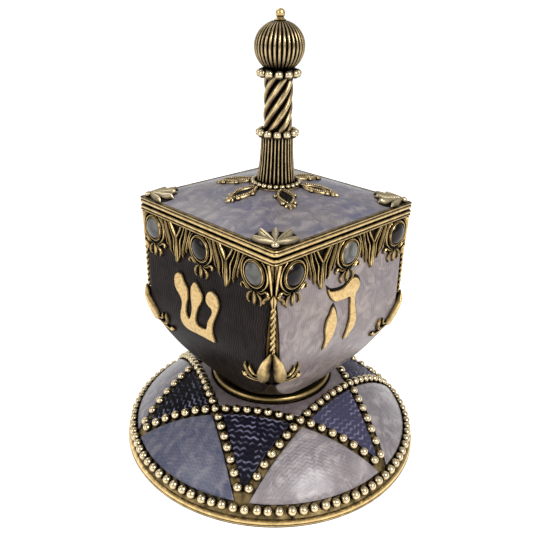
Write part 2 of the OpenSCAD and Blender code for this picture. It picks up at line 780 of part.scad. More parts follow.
// Flared column: rings of a fluted outline, each ring a little narrower
function flare(s) = column_top_r + (column_foot_r - column_top_r) * pow(1 - s, 2);
module fluted_column() color(gold) {
    // The last ring draws in, so that the top clears the beads of the collar
    rings = 6;
    shoulder_h = collar_bead_d * 0.36;
    shoulder_in = collar_bead_d * 0.32;
    per_flute = 4;
    sides = column_flutes * per_flute;
    depth = column_foot_r * 0.07;
    points = [for (j = [0:rings], i = [0:sides - 1]) let (s = min(j / (rings - 1), 1),
        top = j == rings ? 1 : 0, a = 360 * i / sides,
        r = flare(s) - depth * (1 - cos(a * column_flutes)) / 2 - shoulder_in * top)
        [r * cos(a), r * sin(a), column_z + (column_h - shoulder_h) * s + shoulder_h * top]];
    sides_faces = [for (j = [0:rings - 1], i = [0:sides - 1]) let (a = j * sides + i,
        b = j * sides + (i + 1) % sides) [a, a + sides, b + sides, b]];
    difference() {
        polyhedron(points = points, faces = concat([[for (i = [0:sides - 1]) i]], sides_faces,
            [[for (i = [sides - 1:-1:0]) rings * sides + i]]));
        rod_hole();
    }
}

// Thin disc that carries twelve beads
module collar(z) {
    neck = collar_bead_r - collar_bead_d * 0.3;
    difference() {
        translate([0, 0, z]) cylinder(h = collar_plate_t, r = neck);
        rod_hole();
    }
    for (i = [0:collar_beads - 1]) rotate([0, 0, 360 * (i + 0.5) / collar_beads])
        translate([collar_bead_r, 0, z + collar_plate_t / 2]) sphere(d = collar_bead_d);
}

module lower_collar_beads() color(gold) collar(column_end_z + seat_gap / 2);
module upper_collar_beads() color(gold) collar(twist_end_z + seat_gap / 2);

// Strands wound round a core, rising to the right
module twisted_column() color(gold) difference() {
    translate([0, 0, twist_z]) linear_extrude(twist_h, twist = -360 * twist_h / twist_lead,
        slices = 18, $fn = 8) union() {
            circle(r = twist_r * 0.8, $fn = 2 * twist_strands);
            for (i = [0:twist_strands - 1]) rotate(360 * i / twist_strands)
                translate([twist_r * 0.68, 0]) circle(r = twist_r * 0.32);
        }
    rod_hole();
}

// Ribbed globe: rings of a scalloped outline on an oval, after the two rings of the rod's bore
globe_rings = 10;
globe_low_angle = -asin(globe_cut / globe_h);
globe_top_angle = 72;
function level(j) = globe_low_angle + (globe_top_angle - globe_low_angle) * j / globe_rings;
module fluted_globe() color(gold) {
    sides = globe_ribs * 4;
    depth = globe_r * 0.07;
    bore = [for (z = [rod_end_z + rod_gap, globe_seat_z], i = [0:sides - 1]) let (a = 360 * i / sides)
        [(rod_r + rod_gap) * cos(a), (rod_r + rod_gap) * sin(a), z]];
    skin = [for (j = [0:globe_rings], i = [0:sides - 1]) let (t = level(j), a = 360 * i / sides,
        r = (globe_r - depth * (1 - cos(a * globe_ribs)) / 2) * cos(t))
        [r * cos(a), r * sin(a), globe_z + globe_h * sin(t)]];
    last = globe_rings + 2;
    walls = [for (j = [0:last - 1], i = [0:sides - 1]) let (a = j * sides + i,
        b = j * sides + (i + 1) % sides) [a, a + sides, b + sides, b]];
    polyhedron(points = concat(bore, skin), faces = concat([[for (i = [0:sides - 1]) i]], walls,
        [[for (i = [sides - 1:-1:0]) last * sides + i]]));
}

// Small turned neck and ball on top of the globe
module finial() color(gold) {
    z = globe_z + globe_h * sin(globe_top_angle) + seat_gap;
    translate([0, 0, z]) cylinder(h = neck_h, r1 = neck_r, r2 = neck_r * 0.6);
    translate([0, 0, z + neck_h + finial_d * 0.35]) sphere(d = finial_d);
}

module stem_rod() color(dark_gold) translate([0, 0, lid_low_z - nut_h - rod_r])
    cylinder(h = rod_end_z - lid_low_z + nut_h, r = rod_r);

module stem_nut() color(dark_gold) translate([0, 0, lid_low_z - seat_gap - nut_h]) difference() {
    cylinder(h = nut_h, r = nut_r, $fn = 6);
    translate([0, 0, -cut]) cylinder(h = nut_h + 2 * cut, r = rod_r + rod_gap);
}

stand_base();
stand_cup();
enamel_star_points();
enamel_lobes();
enamel_centre();
rim_beads();
star_beads();
spin_point();
box_shell();
panel_shin();
panel_hei();
panel_gimel();
panel_nun();
rim_band();
frieze_shin();
frieze_hei();
frieze_gimel();
frieze_nun();
bezels();
dark_stones();
light_stones();
corner_drops();
corner_ropes();
corner_pods();
pod_scrolls();
lid_plate();
lid_enamel();
corner_leaves();
petal_frames();
petal_enamel();
foot_beads();
fluted_column();
lower_collar_beads();
twisted_column();
upper_collar_beads();
fluted_globe();
finial();
stem_rod();
stem_nut();
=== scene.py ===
import random
from functools import cache, partial
from math import asin, atan2, copysign, cos, hypot, pi, radians, sin, sqrt, tan

import bmesh
import bpy
from bpy.props import FloatProperty, FloatVectorProperty, IntProperty, PointerProperty
from mathutils import Matrix, Vector


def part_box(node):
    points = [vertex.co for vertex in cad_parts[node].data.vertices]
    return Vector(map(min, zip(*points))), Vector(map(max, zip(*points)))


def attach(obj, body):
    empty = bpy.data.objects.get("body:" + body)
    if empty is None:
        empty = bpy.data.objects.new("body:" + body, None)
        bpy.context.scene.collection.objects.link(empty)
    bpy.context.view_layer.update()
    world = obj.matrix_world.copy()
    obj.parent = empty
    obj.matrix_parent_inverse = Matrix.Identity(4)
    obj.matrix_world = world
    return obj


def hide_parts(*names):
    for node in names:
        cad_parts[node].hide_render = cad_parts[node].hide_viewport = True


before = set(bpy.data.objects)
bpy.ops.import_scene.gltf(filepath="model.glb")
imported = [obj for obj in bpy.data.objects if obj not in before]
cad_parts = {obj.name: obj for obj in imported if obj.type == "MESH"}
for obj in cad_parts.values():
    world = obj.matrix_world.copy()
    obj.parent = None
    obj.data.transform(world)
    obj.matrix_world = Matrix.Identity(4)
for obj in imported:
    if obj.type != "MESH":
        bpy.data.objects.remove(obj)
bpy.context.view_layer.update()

bl_info = {
    "name": "Enamelled Dreidel",
    "version": (1, 0, 0),
    "blender": (4, 5, 0),
    "location": "View3D > Sidebar > Dreidel",
    "description": "Builds the looks of an enamelled dreidel and its domed stand on the packed frame",
    "category": "Object",
}

MM = 0.001


def extent(node):
    """A CAD node's lowest height, its top and its reach along X, in millimetres."""
    low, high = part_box(node)
    return low[2] / MM, high[2] / MM, high[0] / MM


def turns(count, start=0.0):
    """Angles at even steps round a circle, the first one start steps on."""
    return [2 * pi * (i + start) / count for i in range(count)]


def shares(count):
    """Even steps from 0 to 1, with both ends."""
    return [i / count for i in range(count + 1)]


# Colours and nodes

def linear(code):
    """A colour such as "#c8b27a", turned from sRGB to linear, with alpha."""
    parts = [int(code[i:i + 2], 16) / 255 for i in (1, 3, 5)]
    return [p / 12.92 if p <= 0.04045 else ((p + 0.055) / 1.055) ** 2.4 for p in parts] + [1.0]


def add(tree, kind, *values, **settings):
    """Adds a node with its settings and links.

    A value is a number, a socket, or a node, which stands for its first output in use. The values go to the
    inputs in use in their order, and those in a dictionary to the inputs that it names.
    """
    kind, fixed = kind if isinstance(kind, tuple) else (kind, {})
    node = tree.nodes.new(kind)
    for key, value in {**fixed, **settings}.items():
        setattr(node, key, value)
    used = [socket for socket in node.inputs if socket.enabled]
    pairs = []
    for place, value in enumerate(values):
        named = isinstance(value, dict)
        pairs += [(node.inputs[key], item) for key, item in value.items()] if named else [(used[place], value)]
    for socket, value in pairs:
        if isinstance(value, bpy.types.Node):
            value = next(output for output in value.outputs if output.enabled)
        if isinstance(value, bpy.types.NodeSocket):
            tree.links.new(value, socket)
        else:
            socket.default_value = value
    return node


# Kinds of nodes, the first ones with a setting of their own
MIX = ("ShaderNodeMix", {"data_type": "RGBA"})
(ADD, SUBTRACT, MULTIPLY, DIVIDE, MULTIPLY_ADD, MAXIMUM, POWER, ABSOLUTE, SINE, COSINE, ARCTAN2) = [
    ("ShaderNodeMath", {"operation": name}) for name in (
        "ADD", "SUBTRACT", "MULTIPLY", "DIVIDE", "MULTIPLY_ADD", "MAXIMUM", "POWER", "ABSOLUTE", "SINE",
        "COSINE", "ARCTAN2")]
RANGE, NOISE = "ShaderNodeMapRange", "ShaderNodeTexNoise"
SPLIT, JOIN, BUMP = "ShaderNodeSeparateXYZ", "ShaderNodeCombineXYZ", "ShaderNodeBump"
COORDINATES, OCCLUSION, ATTRIBUTE = "ShaderNodeTexCoord", "ShaderNodeAmbientOcclusion", "ShaderNodeAttribute"
SURFACE, OUTPUT = "ShaderNodeBsdfPrincipled", "ShaderNodeOutputMaterial"


def per(size):
    """Scale of a pattern whose grains are that many millimetres wide."""
    return 1 / (size * MM)


def new_material(name):
    """An empty material, and the function that adds a node to it."""
    material = bpy.data.materials.new(name)
    material.use_nodes = True
    material.node_tree.nodes.clear()
    return material, partial(add, material.node_tree)


# Materials

def antique_gold(name, bright, dark, gloss, wear, depth=1.2):
    """Cast pewter under a thin gold plate, darkened with patina and rubbed back on its high spots.

    The plate is bright and fairly smooth where it was rubbed. It is dark and dull in every recess, as far from the
    bottom of the recess as its depth in millimetres, and on faces turned downwards, where the darkening is painted
    shade.
    """
    material, node = new_material(name)
    where = node(COORDINATES)
    place = where.outputs["Object"]
    recess = node(OCCLUSION, {"Distance": depth * MM}, samples=8).outputs["AO"]
    recess = node(RANGE, recess, 0.5, 0.96, 1.0, 0.0)
    painted = node(ATTRIBUTE, attribute_name="patina").outputs["Fac"]
    upright = node(SPLIT, where.outputs["Normal"]).outputs["Z"]
    # Painted shade: faces turned downwards darken as if in shadow, and this joins the stain of the recesses
    under = node(RANGE, upright, -0.75, 0.05, 0.75, 0.0)
    stain = node(MAXIMUM, node(MAXIMUM, recess, painted), under)
    cloud = node(NOISE, place, per(1.6), 4.0)
    rubbed = node(MULTIPLY, node(SUBTRACT, cloud, 0.42), wear)
    stain = node(ADD, stain, rubbed, use_clamp=True)
    tone = node(MIX, node(NOISE, place, per(0.7), 3.0), linear(bright[0]), linear(bright[1]))
    colour = node(MIX, stain, tone, linear(dark))
    grain = node(BUMP, {"Height": node(NOISE, place, per(0.28), 2.0), "Strength": 0.12, "Distance": 0.06 * MM})
    node(OUTPUT, node(SURFACE, {"Base Color": colour, "Metallic": 1.0, "Normal": grain,
                                "Roughness": node(RANGE, stain, 0.0, 1.0, gloss, 0.55)}))
    return material


def letter_gold():
    """The same plate left matt as it came from the mould, bright and finely mottled."""
    material, node = new_material("matt_gold_plate")
    place = node(COORDINATES).outputs["Object"]
    mottle = node(RANGE, node(NOISE, place, per(0.5), 4.0, 0.7), 0.42, 0.68)
    colour = node(MIX, mottle, linear("#dcc088"), linear("#b48f56"))
    grain = node(BUMP, {"Height": node(NOISE, place, per(0.3), 3.0), "Strength": 0.35, "Distance": 0.08 * MM})
    node(OUTPUT, node(SURFACE, {"Base Color": colour, "Metallic": 0.75, "Roughness": 0.5, "Normal": grain}))
    return material


def engraving(node, pitch, wave, swing, across=0):
    """Height of engraved lines, pitch apart in millimetres, that swing to and fro along their length."""
    plan = node(SPLIT, node("ShaderNodeUVMap", uv_map="plan"))
    side, along = plan.outputs[across], plan.outputs[1 - across]
    fold = node(SINE, node(MULTIPLY, along, 2 * pi * per(wave)))
    shifted = node(MULTIPLY_ADD, fold, swing * MM / 2, side)
    return node(SINE, node(MULTIPLY, shifted, 2 * pi * per(pitch)))


def enamel(name, tones, lines, glint, pearl, clear, fired=None, patch=(0.3, 0.62, 0.2)):
    """Translucent glass enamel, melted over engraved metal in the kiln and polished.

    tones are its deep, usual and pearly colours, and pearl is the share of the last one. lines are the engraving's
    pitch, wave, swing and direction. The engraved lines are drawn in the glint colour, brightest in patches, as a
    painted highlight, and painted shade darkens the enamel where it meets raised metal. clear is how far the metal
    shines through, the weight of the polished face and its reflection. A field whose share of painted light is 1
    takes the last colour given instead: painted shade on some lobes, a painted reflection on some star points.
    """
    material, node = new_material(name)
    place = node(COORDINATES).outputs["Object"]
    broad = node(RANGE, node(NOISE, place, per(9.0), 2.0), 0.35, 0.65)
    colour = node(MIX, broad, linear(tones[0]), linear(tones[1]))
    # Painted light: a field's share moves its colour to the given tone, painted shade on some lobes and a painted
    # reflection on some star points, with less pearl
    if fired:
        share = node(ATTRIBUTE, attribute_name="patina").outputs["Fac"]
        colour = node(MIX, share, colour, linear(fired))
        pearl = node(MULTIPLY_ADD, share, -0.7 * pearl, pearl)
    stroke = node("ShaderNodeTexWave", place, per(11.0), {
        "Distortion": 11.0, "Detail": 3.0, "Detail Scale": 0.7, "Detail Roughness": 0.6}).outputs["Fac"]
    cloud = node(NOISE, place, per(3.4), 5.0, 0.6, {"Distortion": 1.6})
    height = engraving(node, *lines)
    # Milky swirls of the pearly tone, then the engraved lines drawn in the glint colour as a painted highlight,
    # brightest in patches
    layers = ((node(RANGE, stroke, 0.0, 1.0, 0.3, 1.0), node(RANGE, cloud, 0.4, 0.62), pearl, tones[2]),
              (node(RANGE, height, 0.1, 1.0), node(RANGE, cloud, *patch, 1.0), glint[1], glint[0]))
    for first, second, amount, tone in layers:
        share = node(MULTIPLY, node(MULTIPLY, first, second), amount)
        colour = node(MIX, share, colour, linear(tone))
    # Painted shade: the enamel darkens towards near black where raised metal stands beside it
    pool = node(OCCLUSION, {"Distance": 1.1 * MM}, samples=8).outputs["AO"]
    colour = node(MIX, node(RANGE, pool, 0.45, 0.85, 0.85, 0.0), colour, linear("#120d0e"))
    relief = node(BUMP, {"Height": height, "Strength": 0.5, "Distance": 0.03 * MM})
    node(OUTPUT, node(SURFACE, {"Base Color": colour, "Metallic": clear[0], "Roughness": 0.45,
                                "Specular IOR Level": clear[2], "Coat Weight": clear[1],
                                "Coat Roughness": 0.2, "Coat IOR": 1.5, "Normal": relief}))
    return material


def cabochon_glass(name, body, cloud_colour, haze):
    """Polished glass stone set over foil: a glossy clear face over a cloudy ground."""
    material, node = new_material(name)
    place = node(COORDINATES).outputs["Object"]
    cloud = node(RANGE, node(NOISE, place, per(2.2), 3.0, {"Distortion": 0.8}), 0.4, 0.7, 0.0, haze)
    colour = node(MIX, cloud, linear(body), linear(cloud_colour))
    node(OUTPUT, node(SURFACE, {"Base Color": colour, "Metallic": 0.0, "Roughness": 0.2,
                                "Specular IOR Level": 0.08, "Coat Weight": 0.25, "Coat Roughness": 0.05}))
    return material


MATERIALS = {}


def make_materials():
    """Makes every finish once, under the name that the pieces use."""
    # Engraved lines: pitch, wave and swing in mm, then 0 for upright ones and 1 for level ones. The real
    # ones are near 0.3 mm apart, which is too fine to show, so they are drawn twice or three times as coarse
    face, wavy = (0.62, 3.4, 0.3, 0), (0.6, 1.8, 0.4, 1)
    MATERIALS.update({
        # Gold plate on cast pewter, patinated and rubbed: warm bright ridges that sink into black recesses
        "gold": antique_gold("antiqued_gold_plate", ("#fbe3a8", "#c09550"), "#100903", 0.2, 0.9),
        # The same, rubbed hard on beads and leaves: small pale sparkles, brown between them
        "bead_gold": antique_gold("rubbed_gold_plate", ("#f3e5c4", "#c8ae7c"), "#150c05", 0.18, 0.4, 1.35),
        # The same on the turned stem, with more stain left in the flutes: bright lines on near black
        "stem_gold": antique_gold("stained_gold_plate", ("#ecd6a8", "#a6885a"), "#0d0703", 0.2, 0.7),
        # Plate of the cup, dulled by the turning point: a soft olive gold without sparkle
        "dull_gold": antique_gold("dull_gold_plate", ("#ab9566", "#7d683f"), "#1d130a", 0.34, 0.7),
        # Plate left under its patina, as inside the box: a dim brown metal
        "dark_gold": antique_gold("patinated_gold_plate", ("#6d5835", "#46351c"), "#150d06", 0.38, 0.8),
        # Painted shade in the pierced ground behind ornament, in slits and beside letters: almost black, with no
        # shine
        "web": antique_gold("deep_patina", ("#1c150e", "#0e0a06"), "#050302", 0.5, 0.8),
        # Plate left matt as cast, on the letters: an even pale gold that stands out from the enamel
        "letter": letter_gold(),
        # Glass enamel, near black with a wine cast: satin, with faint brown engraved lines drawn as a dim painted
        # highlight
        "dark_enamel": enamel("aubergine_enamel", ("#090505", "#110a0a", "#261c1c"),
                              (0.62, 3.4, 0.36, 0), ("#4c3e36", 0.38), 0.5, (0.0, 0.05, 0.04)),
        # Opalescent glass enamel: grey lavender with milky swirls
        "light_enamel": enamel("pearly_lavender_enamel", ("#6f6367", "#7c6f6d", "#a59892"),
                               face, ("#9d9393", 0.3), 0.8, (0.1, 0.4, 0.3)),
        # Deep blue glass enamel on coarse engraving: blue black, its zigzags drawn silvery in patches as a painted
        # highlight, and some star points lighter as a painted reflection
        "navy_enamel": enamel("navy_enamel", ("#010104", "#04040a", "#131326"),
                              (1.0, 1.5, 0.32, 1), ("#8e8ba6", 0.85), 0.35, (0.0, 0.05, 0.05), "#4a4860",
                              (0.46, 0.62, 0.02)),
        # The same in the small petals, too small for the zigzags: ink with a dim shimmer
        "ink_enamel": enamel("ink_enamel", ("#010102", "#040306", "#0e0d15"),
                             (0.85, 1.6, 0.4, 1), ("#2a2832", 0.3), 0.3, (0.0, 0.08, 0.08)),
        # Opalescent glass enamel: milky grey, with some lobes turned dim blue as painted shade
        "lobe_enamel": enamel("pearly_periwinkle_enamel", ("#787175", "#867c7e", "#b4abaa"),
                              wavy, ("#b0a8ad", 0.1), 0.8, (0.1, 0.4, 0.3), "#40455f"),
        # The same on the lid: slate blue clouded with warm grey
        "lid_enamel": enamel("pearly_lid_enamel", ("#5b5b72", "#736c70", "#a59c9a"),
                             wavy, ("#8a858c", 0.2), 0.7, (0.05, 0.35, 0.3)),
        # The same round the cup, in shade: a warm dim mauve
        "mauve_enamel": enamel("pearly_mauve_enamel", ("#5d5356", "#6b6062", "#8c8080"),
                               wavy, ("#94898a", 0.2), 0.6, (0.05, 0.4, 0.3)),
        # Moulded glass over dark foil: brown black, with one small highlight
        "dark_stone": cabochon_glass("dark_cabochon_glass", "#050202", "#26170f", 0.6),
        # Moulded milk glass: a cloudy grey dome, like moonstone
        "light_stone": cabochon_glass("milky_cabochon_glass", "#504f4c", "#86857f", 0.8),
    })


# Mesh building, in millimetres

class Form:
    """Collects points and faces of one piece, with the patina and the engraving's plan at each point; on enamel,
    the patina holds the share of painted light.
    """

    def __init__(self):
        self.points, self.faces, self.patina, self.marks, self.plan = [], [], [], [], []

    def point(self, place, plan, patina=0.0):
        """Adds one point."""
        self.points.append(Vector(place) * MM)
        self.plan.append([c * MM for c in plan])
        self.patina.append(patina)

    def face(self, corners, mark=0):
        """Adds one face; its mark is the number of its material."""
        self.faces.append(tuple(corners))
        self.marks.append(mark)

    def cap(self, ring, mark=0):
        """Adds one flat face through points of its own."""
        start = len(self.points)
        for place in ring:
            self.point(place, place[:2])
        self.face(range(start, start + len(ring)), mark)

    def tube(self, rings, closed=False, mark=0, patina=None, plan=None, ends=True):
        """Joins rings of points; closed joins the last ring to the first, and else the ends are capped."""
        start, wide, tall = len(self.points), len(rings[0]), len(rings)
        for j, ring in enumerate(rings):
            for i, place in enumerate(ring):
                self.point(place, plan[j][i] if plan else place[:2], patina[j][i] if patina else 0.0)
        for j in range(tall if closed else tall - 1):
            a, b = start + j * wide, start + (j + 1) % tall * wide
            for i in range(wide):
                k = (i + 1) % wide
                self.face((a + i, a + k, b + k, b + i), mark)
        if ends and not closed:
            self.cap(rings[0], mark)
            self.cap(rings[-1], mark)

    def lathe(self, profile, sides=96, patina=None):
        """Turns a closed outline of (radius, height) about Z."""
        self.tube([[(r * cos(a), r * sin(a), z) for r, z in profile] for a in turns(sides)], True,
                  patina=[patina] * sides if patina else None)


def link(name, data):
    """An object with this data, in the scene."""
    item = bpy.data.objects.new(name, data)
    bpy.context.scene.collection.objects.link(item)
    return item


def shade(mesh, smooth):
    """Shades a mesh smooth between edges sharper than an angle in degrees."""
    mesh.shade_smooth()
    mesh.set_sharp_from_angle(angle=radians(smooth))


def make_object(form, name, finishes, smooth=38.0, turn_out=True):
    """Makes an object from a form, with doubles merged, slivers dropped and faces turned outwards."""
    mesh = bpy.data.meshes.new(name)
    mesh.from_pydata(form.points, [], form.faces)
    mesh.attributes.new("patina", "FLOAT", "POINT").data.foreach_set("value", form.patina)
    uv = mesh.uv_layers.new(name="plan")
    for loop in mesh.loops:
        uv.data[loop.index].uv = form.plan[loop.vertex_index]
    mesh.polygons.foreach_set("material_index", form.marks)
    for key in finishes.split():
        mesh.materials.append(MATERIALS[key])
    work = bmesh.new()
    work.from_mesh(mesh)
    bmesh.ops.remove_doubles(work, verts=work.verts, dist=1e-7)
    bmesh.ops.dissolve_degenerate(work, edges=work.edges, dist=1e-7)
    if turn_out:
        bmesh.ops.recalc_face_normals(work, faces=work.faces)
    work.to_mesh(mesh)
    work.free()
    shade(mesh, smooth)
    return link(name, mesh)


def hold(piece, body, slot, *nodes):
    """Lets a piece ride on its body and stand for CAD nodes, which it hides; slot is not used."""
    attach(piece, body)
    if nodes:
        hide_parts(*nodes)


def fit(form, name, finishes, body, slot, *nodes, copies=1, turn=0.0, smooth=38.0):
    """Makes a form's piece, repeated round the axis where it has copies, and holds it."""
    piece = make_object(form, name, finishes, smooth)
    if copies > 1:
        materials = list(piece.data.materials)
        apply_tree(piece, around_tree(), smooth, count=copies, turn=turn, material=materials[0],
                   ground_material=materials[-1])
    hold(piece, body, slot, *nodes)


def ease(points, steps):
    """A smooth open line through the points, each a tuple of numbers."""
    result = []
    ends = [points[0]] + list(points) + [points[-1]]
    for k in range(len(points) - 1):
        p0, p1, p2, p3 = ends[k:k + 4]
        for i in range(steps):
            t = i / steps
            result.append(tuple(0.5 * (2 * b + (c - a) * t + (2 * a - 5 * b + 4 * c - d) * t * t
                                       + (3 * b - a - 3 * c + d) * t ** 3)
                                for a, b, c, d in zip(p0, p1, p2, p3)))
    return result + [tuple(points[-1])]


def strap(form, place, line, height, sink=0.2, crown=2.0, steps=4, across=6, mark=0, dark=0.0, groove=0.0):
    """A tapering relief bar or leaf along a line of (u, v, half width), laid on a surface by place.

    sink is how far it goes into the surface. crown sets its section: 1 is a ridge, 2 is round, and more is
    flatter. dark is the stain along its edges. groove is the depth of the chased line along its middle, as
    a share of the height.
    """
    path = ease(line, steps)
    widest = max(w for u, v, w in line)
    rings, stains, plan = [], [], []
    for j, (u, v, w) in enumerate(path):
        before, after = path[max(j - 1, 0)], path[min(j + 1, len(path) - 1)]
        du, dv = after[0] - before[0], after[1] - before[1]
        size, w = hypot(du, dv) or 1.0, max(w, 0.0)
        nu, nv = -dv / size * w, du / size * w
        full = min(1.0, w / (widest * 0.5))
        ring, stain = [], []
        for i in range(across + 1):
            t = 2 * i / across - 1
            lift = height * full * (1 - abs(t) ** crown) ** (1 / crown if crown >= 1.5 else 1)
            chased = groove * max(0.0, 1 - abs(t) * 2.4) * full
            ring.append(place(u + nu * t, v + nv * t, lift * (1 - chased)))
            stain.append(max(dark * t * t, min(1.0, 1.6 * chased)))
        rings.append(ring + [place(u + nu, v + nv, -sink), place(u - nu, v - nv, -sink)])
        stains.append(stain + [dark, dark])
        plan.append([(u, v)] * len(rings[-1]))
    form.tube(rings, False, mark, stains, plan)


def plate(form, place, line, height=0.1, sink=0.1, across=6):
    """A flat dark plate under open work, painted shade that fills its gaps."""
    strap(form, place, line, height, sink, 6.0, across=across, mark=1)


def ball(form, centre, radius, sides=14, rings=8):
    """A round bead."""
    x, y, z = centre
    form.tube([[(x + radius * cos(t) * cos(a), y + radius * cos(t) * sin(a), z + radius * sin(t))
                for a in turns(sides)] for t in (pi * (s - 0.5) for s in shares(rings))], ends=False)


# Geometry Nodes

def node_tree(name, inputs):
    """A Geometry Nodes tree with named inputs: the tree, the function that adds a node, and its inputs."""
    tree = bpy.data.node_groups.new(name, "GeometryNodeTree")
    for label, kind in {"Geometry": "Geometry", **inputs}.items():
        tree.interface.new_socket(label, in_out="INPUT", socket_type="NodeSocket" + kind)
    tree.interface.new_socket("Geometry", in_out="OUTPUT", socket_type="NodeSocketGeometry")
    node = partial(add, tree)
    return tree, node, node("NodeGroupInput").outputs


def finish_tree(node, geometry, material):
    """Ends a tree: its instances become real and get their material."""
    real = node("GeometryNodeRealizeInstances", geometry)
    node("NodeGroupOutput", node("GeometryNodeSetMaterial", {"Geometry": real, "Material": material}))


@cache
def bead_tree():
    """A bead on every point, each a little larger or smaller than the next."""
    tree, node, given = node_tree("bead_on_each_point", {
        "Bead Radius": "Float", "Irregularity": "Float", "Seed": "Int", "Material": "Material"})
    least = node(SUBTRACT, 1.0, given["Irregularity"])
    most = node(ADD, 1.0, given["Irregularity"])
    seed = {"Seed": given["Seed"]}
    full_turn = (6.28, 6.28, 6.28)
    beads = node("GeometryNodeInstanceOnPoints", {
        "Points": given["Geometry"],
        "Instance": node("GeometryNodeMeshUVSphere", 12, 8, given["Bead Radius"]),
        "Rotation": node("FunctionNodeRandomValue", (0, 0, 0), full_turn, seed, data_type="FLOAT_VECTOR"),
        "Scale": node("FunctionNodeRandomValue", least, most, seed, data_type="FLOAT")})
    finish_tree(node, beads, given["Material"])
    return tree


@cache
def around_tree():
    """Copies of a piece at even steps round the Z axis; its faces of the ground keep their own material."""
    tree, node, given = node_tree("copies_round_the_axis", {
        "Count": "Int", "Turn": "Float", "Material": "Material", "Ground Material": "Material"})
    step = node(DIVIDE, 2 * pi, given["Count"])
    angle = node(MULTIPLY_ADD, node("GeometryNodeInputIndex"), step, given["Turn"])
    result = node("GeometryNodeRealizeInstances", node("GeometryNodeInstanceOnPoints", {
        "Points": node("GeometryNodePoints", given["Count"]), "Instance": given["Geometry"],
        "Rotation": node(JOIN, {"Z": angle})}))
    for number, label in enumerate(("Material", "Ground Material")):
        chosen = node("FunctionNodeCompare", node("GeometryNodeInputMaterialIndex"), number, data_type="INT",
                      operation="EQUAL")
        result = node("GeometryNodeSetMaterial", result, chosen, given[label])
    node("NodeGroupOutput", result)
    return tree


@cache
def fluting_tree():
    """Cuts flutes into a turned piece, straight or twisted, and stains the grooves.

    Sharpness 1 leaves round ribs with sharp grooves, and 2 an even wave.
    """
    tree, node, given = node_tree("fluted_turning", {
        "Ribs": "Float", "Depth": "Float", "Turns per Metre": "Float", "Sharpness": "Float",
        "Stain": "Float", "Material": "Material"})
    x, y, z = node(SPLIT, node("GeometryNodeInputPosition")).outputs
    twist = node(MULTIPLY, node(MULTIPLY, z, given["Turns per Metre"]), 2 * pi)
    angle = node(SUBTRACT, node(ARCTAN2, y, x), twist)
    wave = node(MULTIPLY, node(MULTIPLY, angle, given["Ribs"]), 0.5)
    ridge = node(ABSOLUTE, node(COSINE, wave))
    ridge = node(POWER, ridge, given["Sharpness"])
    groove = node(SUBTRACT, 1.0, ridge)
    share = node(SUBTRACT, 1.0, node(MULTIPLY, groove, given["Depth"]))
    stained = node("GeometryNodeStoreNamedAttribute", {
        "Geometry": given["Geometry"], "Name": "patina",
        "Value": node(MULTIPLY, groove, given["Stain"])}, data_type="FLOAT", domain="POINT")
    moved = node(JOIN, node(MULTIPLY, x, share), node(MULTIPLY, y, share), z)
    cut = node("GeometryNodeSetPosition", {"Geometry": stained, "Position": moved})
    finish_tree(node, cut, given["Material"])
    return tree


def apply_tree(piece, tree, smooth=60.0, **values):
    """Runs a tree on a piece with named inputs and keeps the result as the piece's plain mesh."""
    modifier = piece.modifiers.new(tree.name, "NODES")
    modifier.node_group = tree
    for item in tree.interface.items_tree:
        key = item.name.replace(" ", "_").lower()
        if item.in_out == "INPUT" and key in values:
            modifier[item.identifier] = values[key]
    bpy.context.view_layer.update()
    graph = bpy.context.evaluated_depsgraph_get()
    mesh = bpy.data.meshes.new_from_object(piece.evaluated_get(graph), depsgraph=graph)
    piece.modifiers.clear()
    old, piece.data = piece.data, mesh
    bpy.data.meshes.remove(old)
    mesh.name = piece.name
    shade(mesh, smooth)


def bead_string(name, points, radius, irregularity, seed, finish, *held):
    """Beads at a list of points in millimetres; held is the body, the slot and the nodes."""
    mesh = bpy.data.meshes.new(name)
    mesh.from_pydata([Vector(p) * MM for p in points], [], [])
    piece = link(name, mesh)
    apply_tree(piece, bead_tree(), bead_radius=radius * MM, irregularity=irregularity, seed=seed,
               material=MATERIALS[finish])
    hold(piece, *held)


# Sizes that a user would change

class StandSettings(bpy.types.PropertyGroup):
    """Sizes of the domed stand"""
    star_turn: FloatProperty(name="Star turn", description="Turn of the six-pointed star", default=radians(35.2),
                             subtype="ANGLE")
    star_radius: FloatProperty(name="Star radius", description="Radius of the star's tips", default=30.1 * MM,
                               unit="LENGTH")
    bead_diameter: FloatProperty(name="Bead", description="Diameter of the beads", default=1.85 * MM, min=1 * MM,
                                 max=3 * MM, unit="LENGTH")
    rim_beads: IntProperty(name="Rim beads", description="Beads round the rim", default=88, min=60, max=110)


class BoxSettings(bpy.types.PropertyGroup):
    """Sizes of the dreidel's box"""
    letter_height: FloatProperty(name="Letter relief", description="Height of the letters", default=0.6 * MM,
                                 unit="LENGTH")
    bar_height: FloatProperty(name="Frieze relief", description="Height of the frieze's bars", default=0.66 * MM,
                              unit="LENGTH")
    bar_width: FloatProperty(name="Frieze bars", description="Width of the frieze's bars as a factor",
                             default=0.72, min=0.3, max=1.2, subtype="FACTOR")


class StemSettings(bpy.types.PropertyGroup):
    """Counts of the stem's ornament"""
    column_flutes: IntProperty(name="Column flutes", description="Flutes of the column", default=28, min=12, max=40)
    strands: IntProperty(name="Strands", description="Strands of the twisted column", default=7, min=4, max=10)
    globe_ribs: IntProperty(name="Globe ribs", description="Ribs of the globe", default=32, min=16, max=48)


class StageSettings(bpy.types.PropertyGroup):
    """Floor and lamps"""
    floor_colour: FloatVectorProperty(name="Floor", description="Colour of the floor", subtype="COLOR", size=3,
                                      default=linear("#f4f4f4")[:3], min=0, max=1)
    lamp_power: FloatProperty(name="Lamps", description="Power of all lamps as a factor", default=1.0, min=0,
                              max=4, subtype="FACTOR")


SETTINGS = {"stand": StandSettings, "box": BoxSettings, "stem": StemSettings, "stage": StageSettings}


def settings(group):
    """One group of settings of this scene."""
    return getattr(bpy.context.scene, "dreidel_" + group)


# Dome, as in the part's source

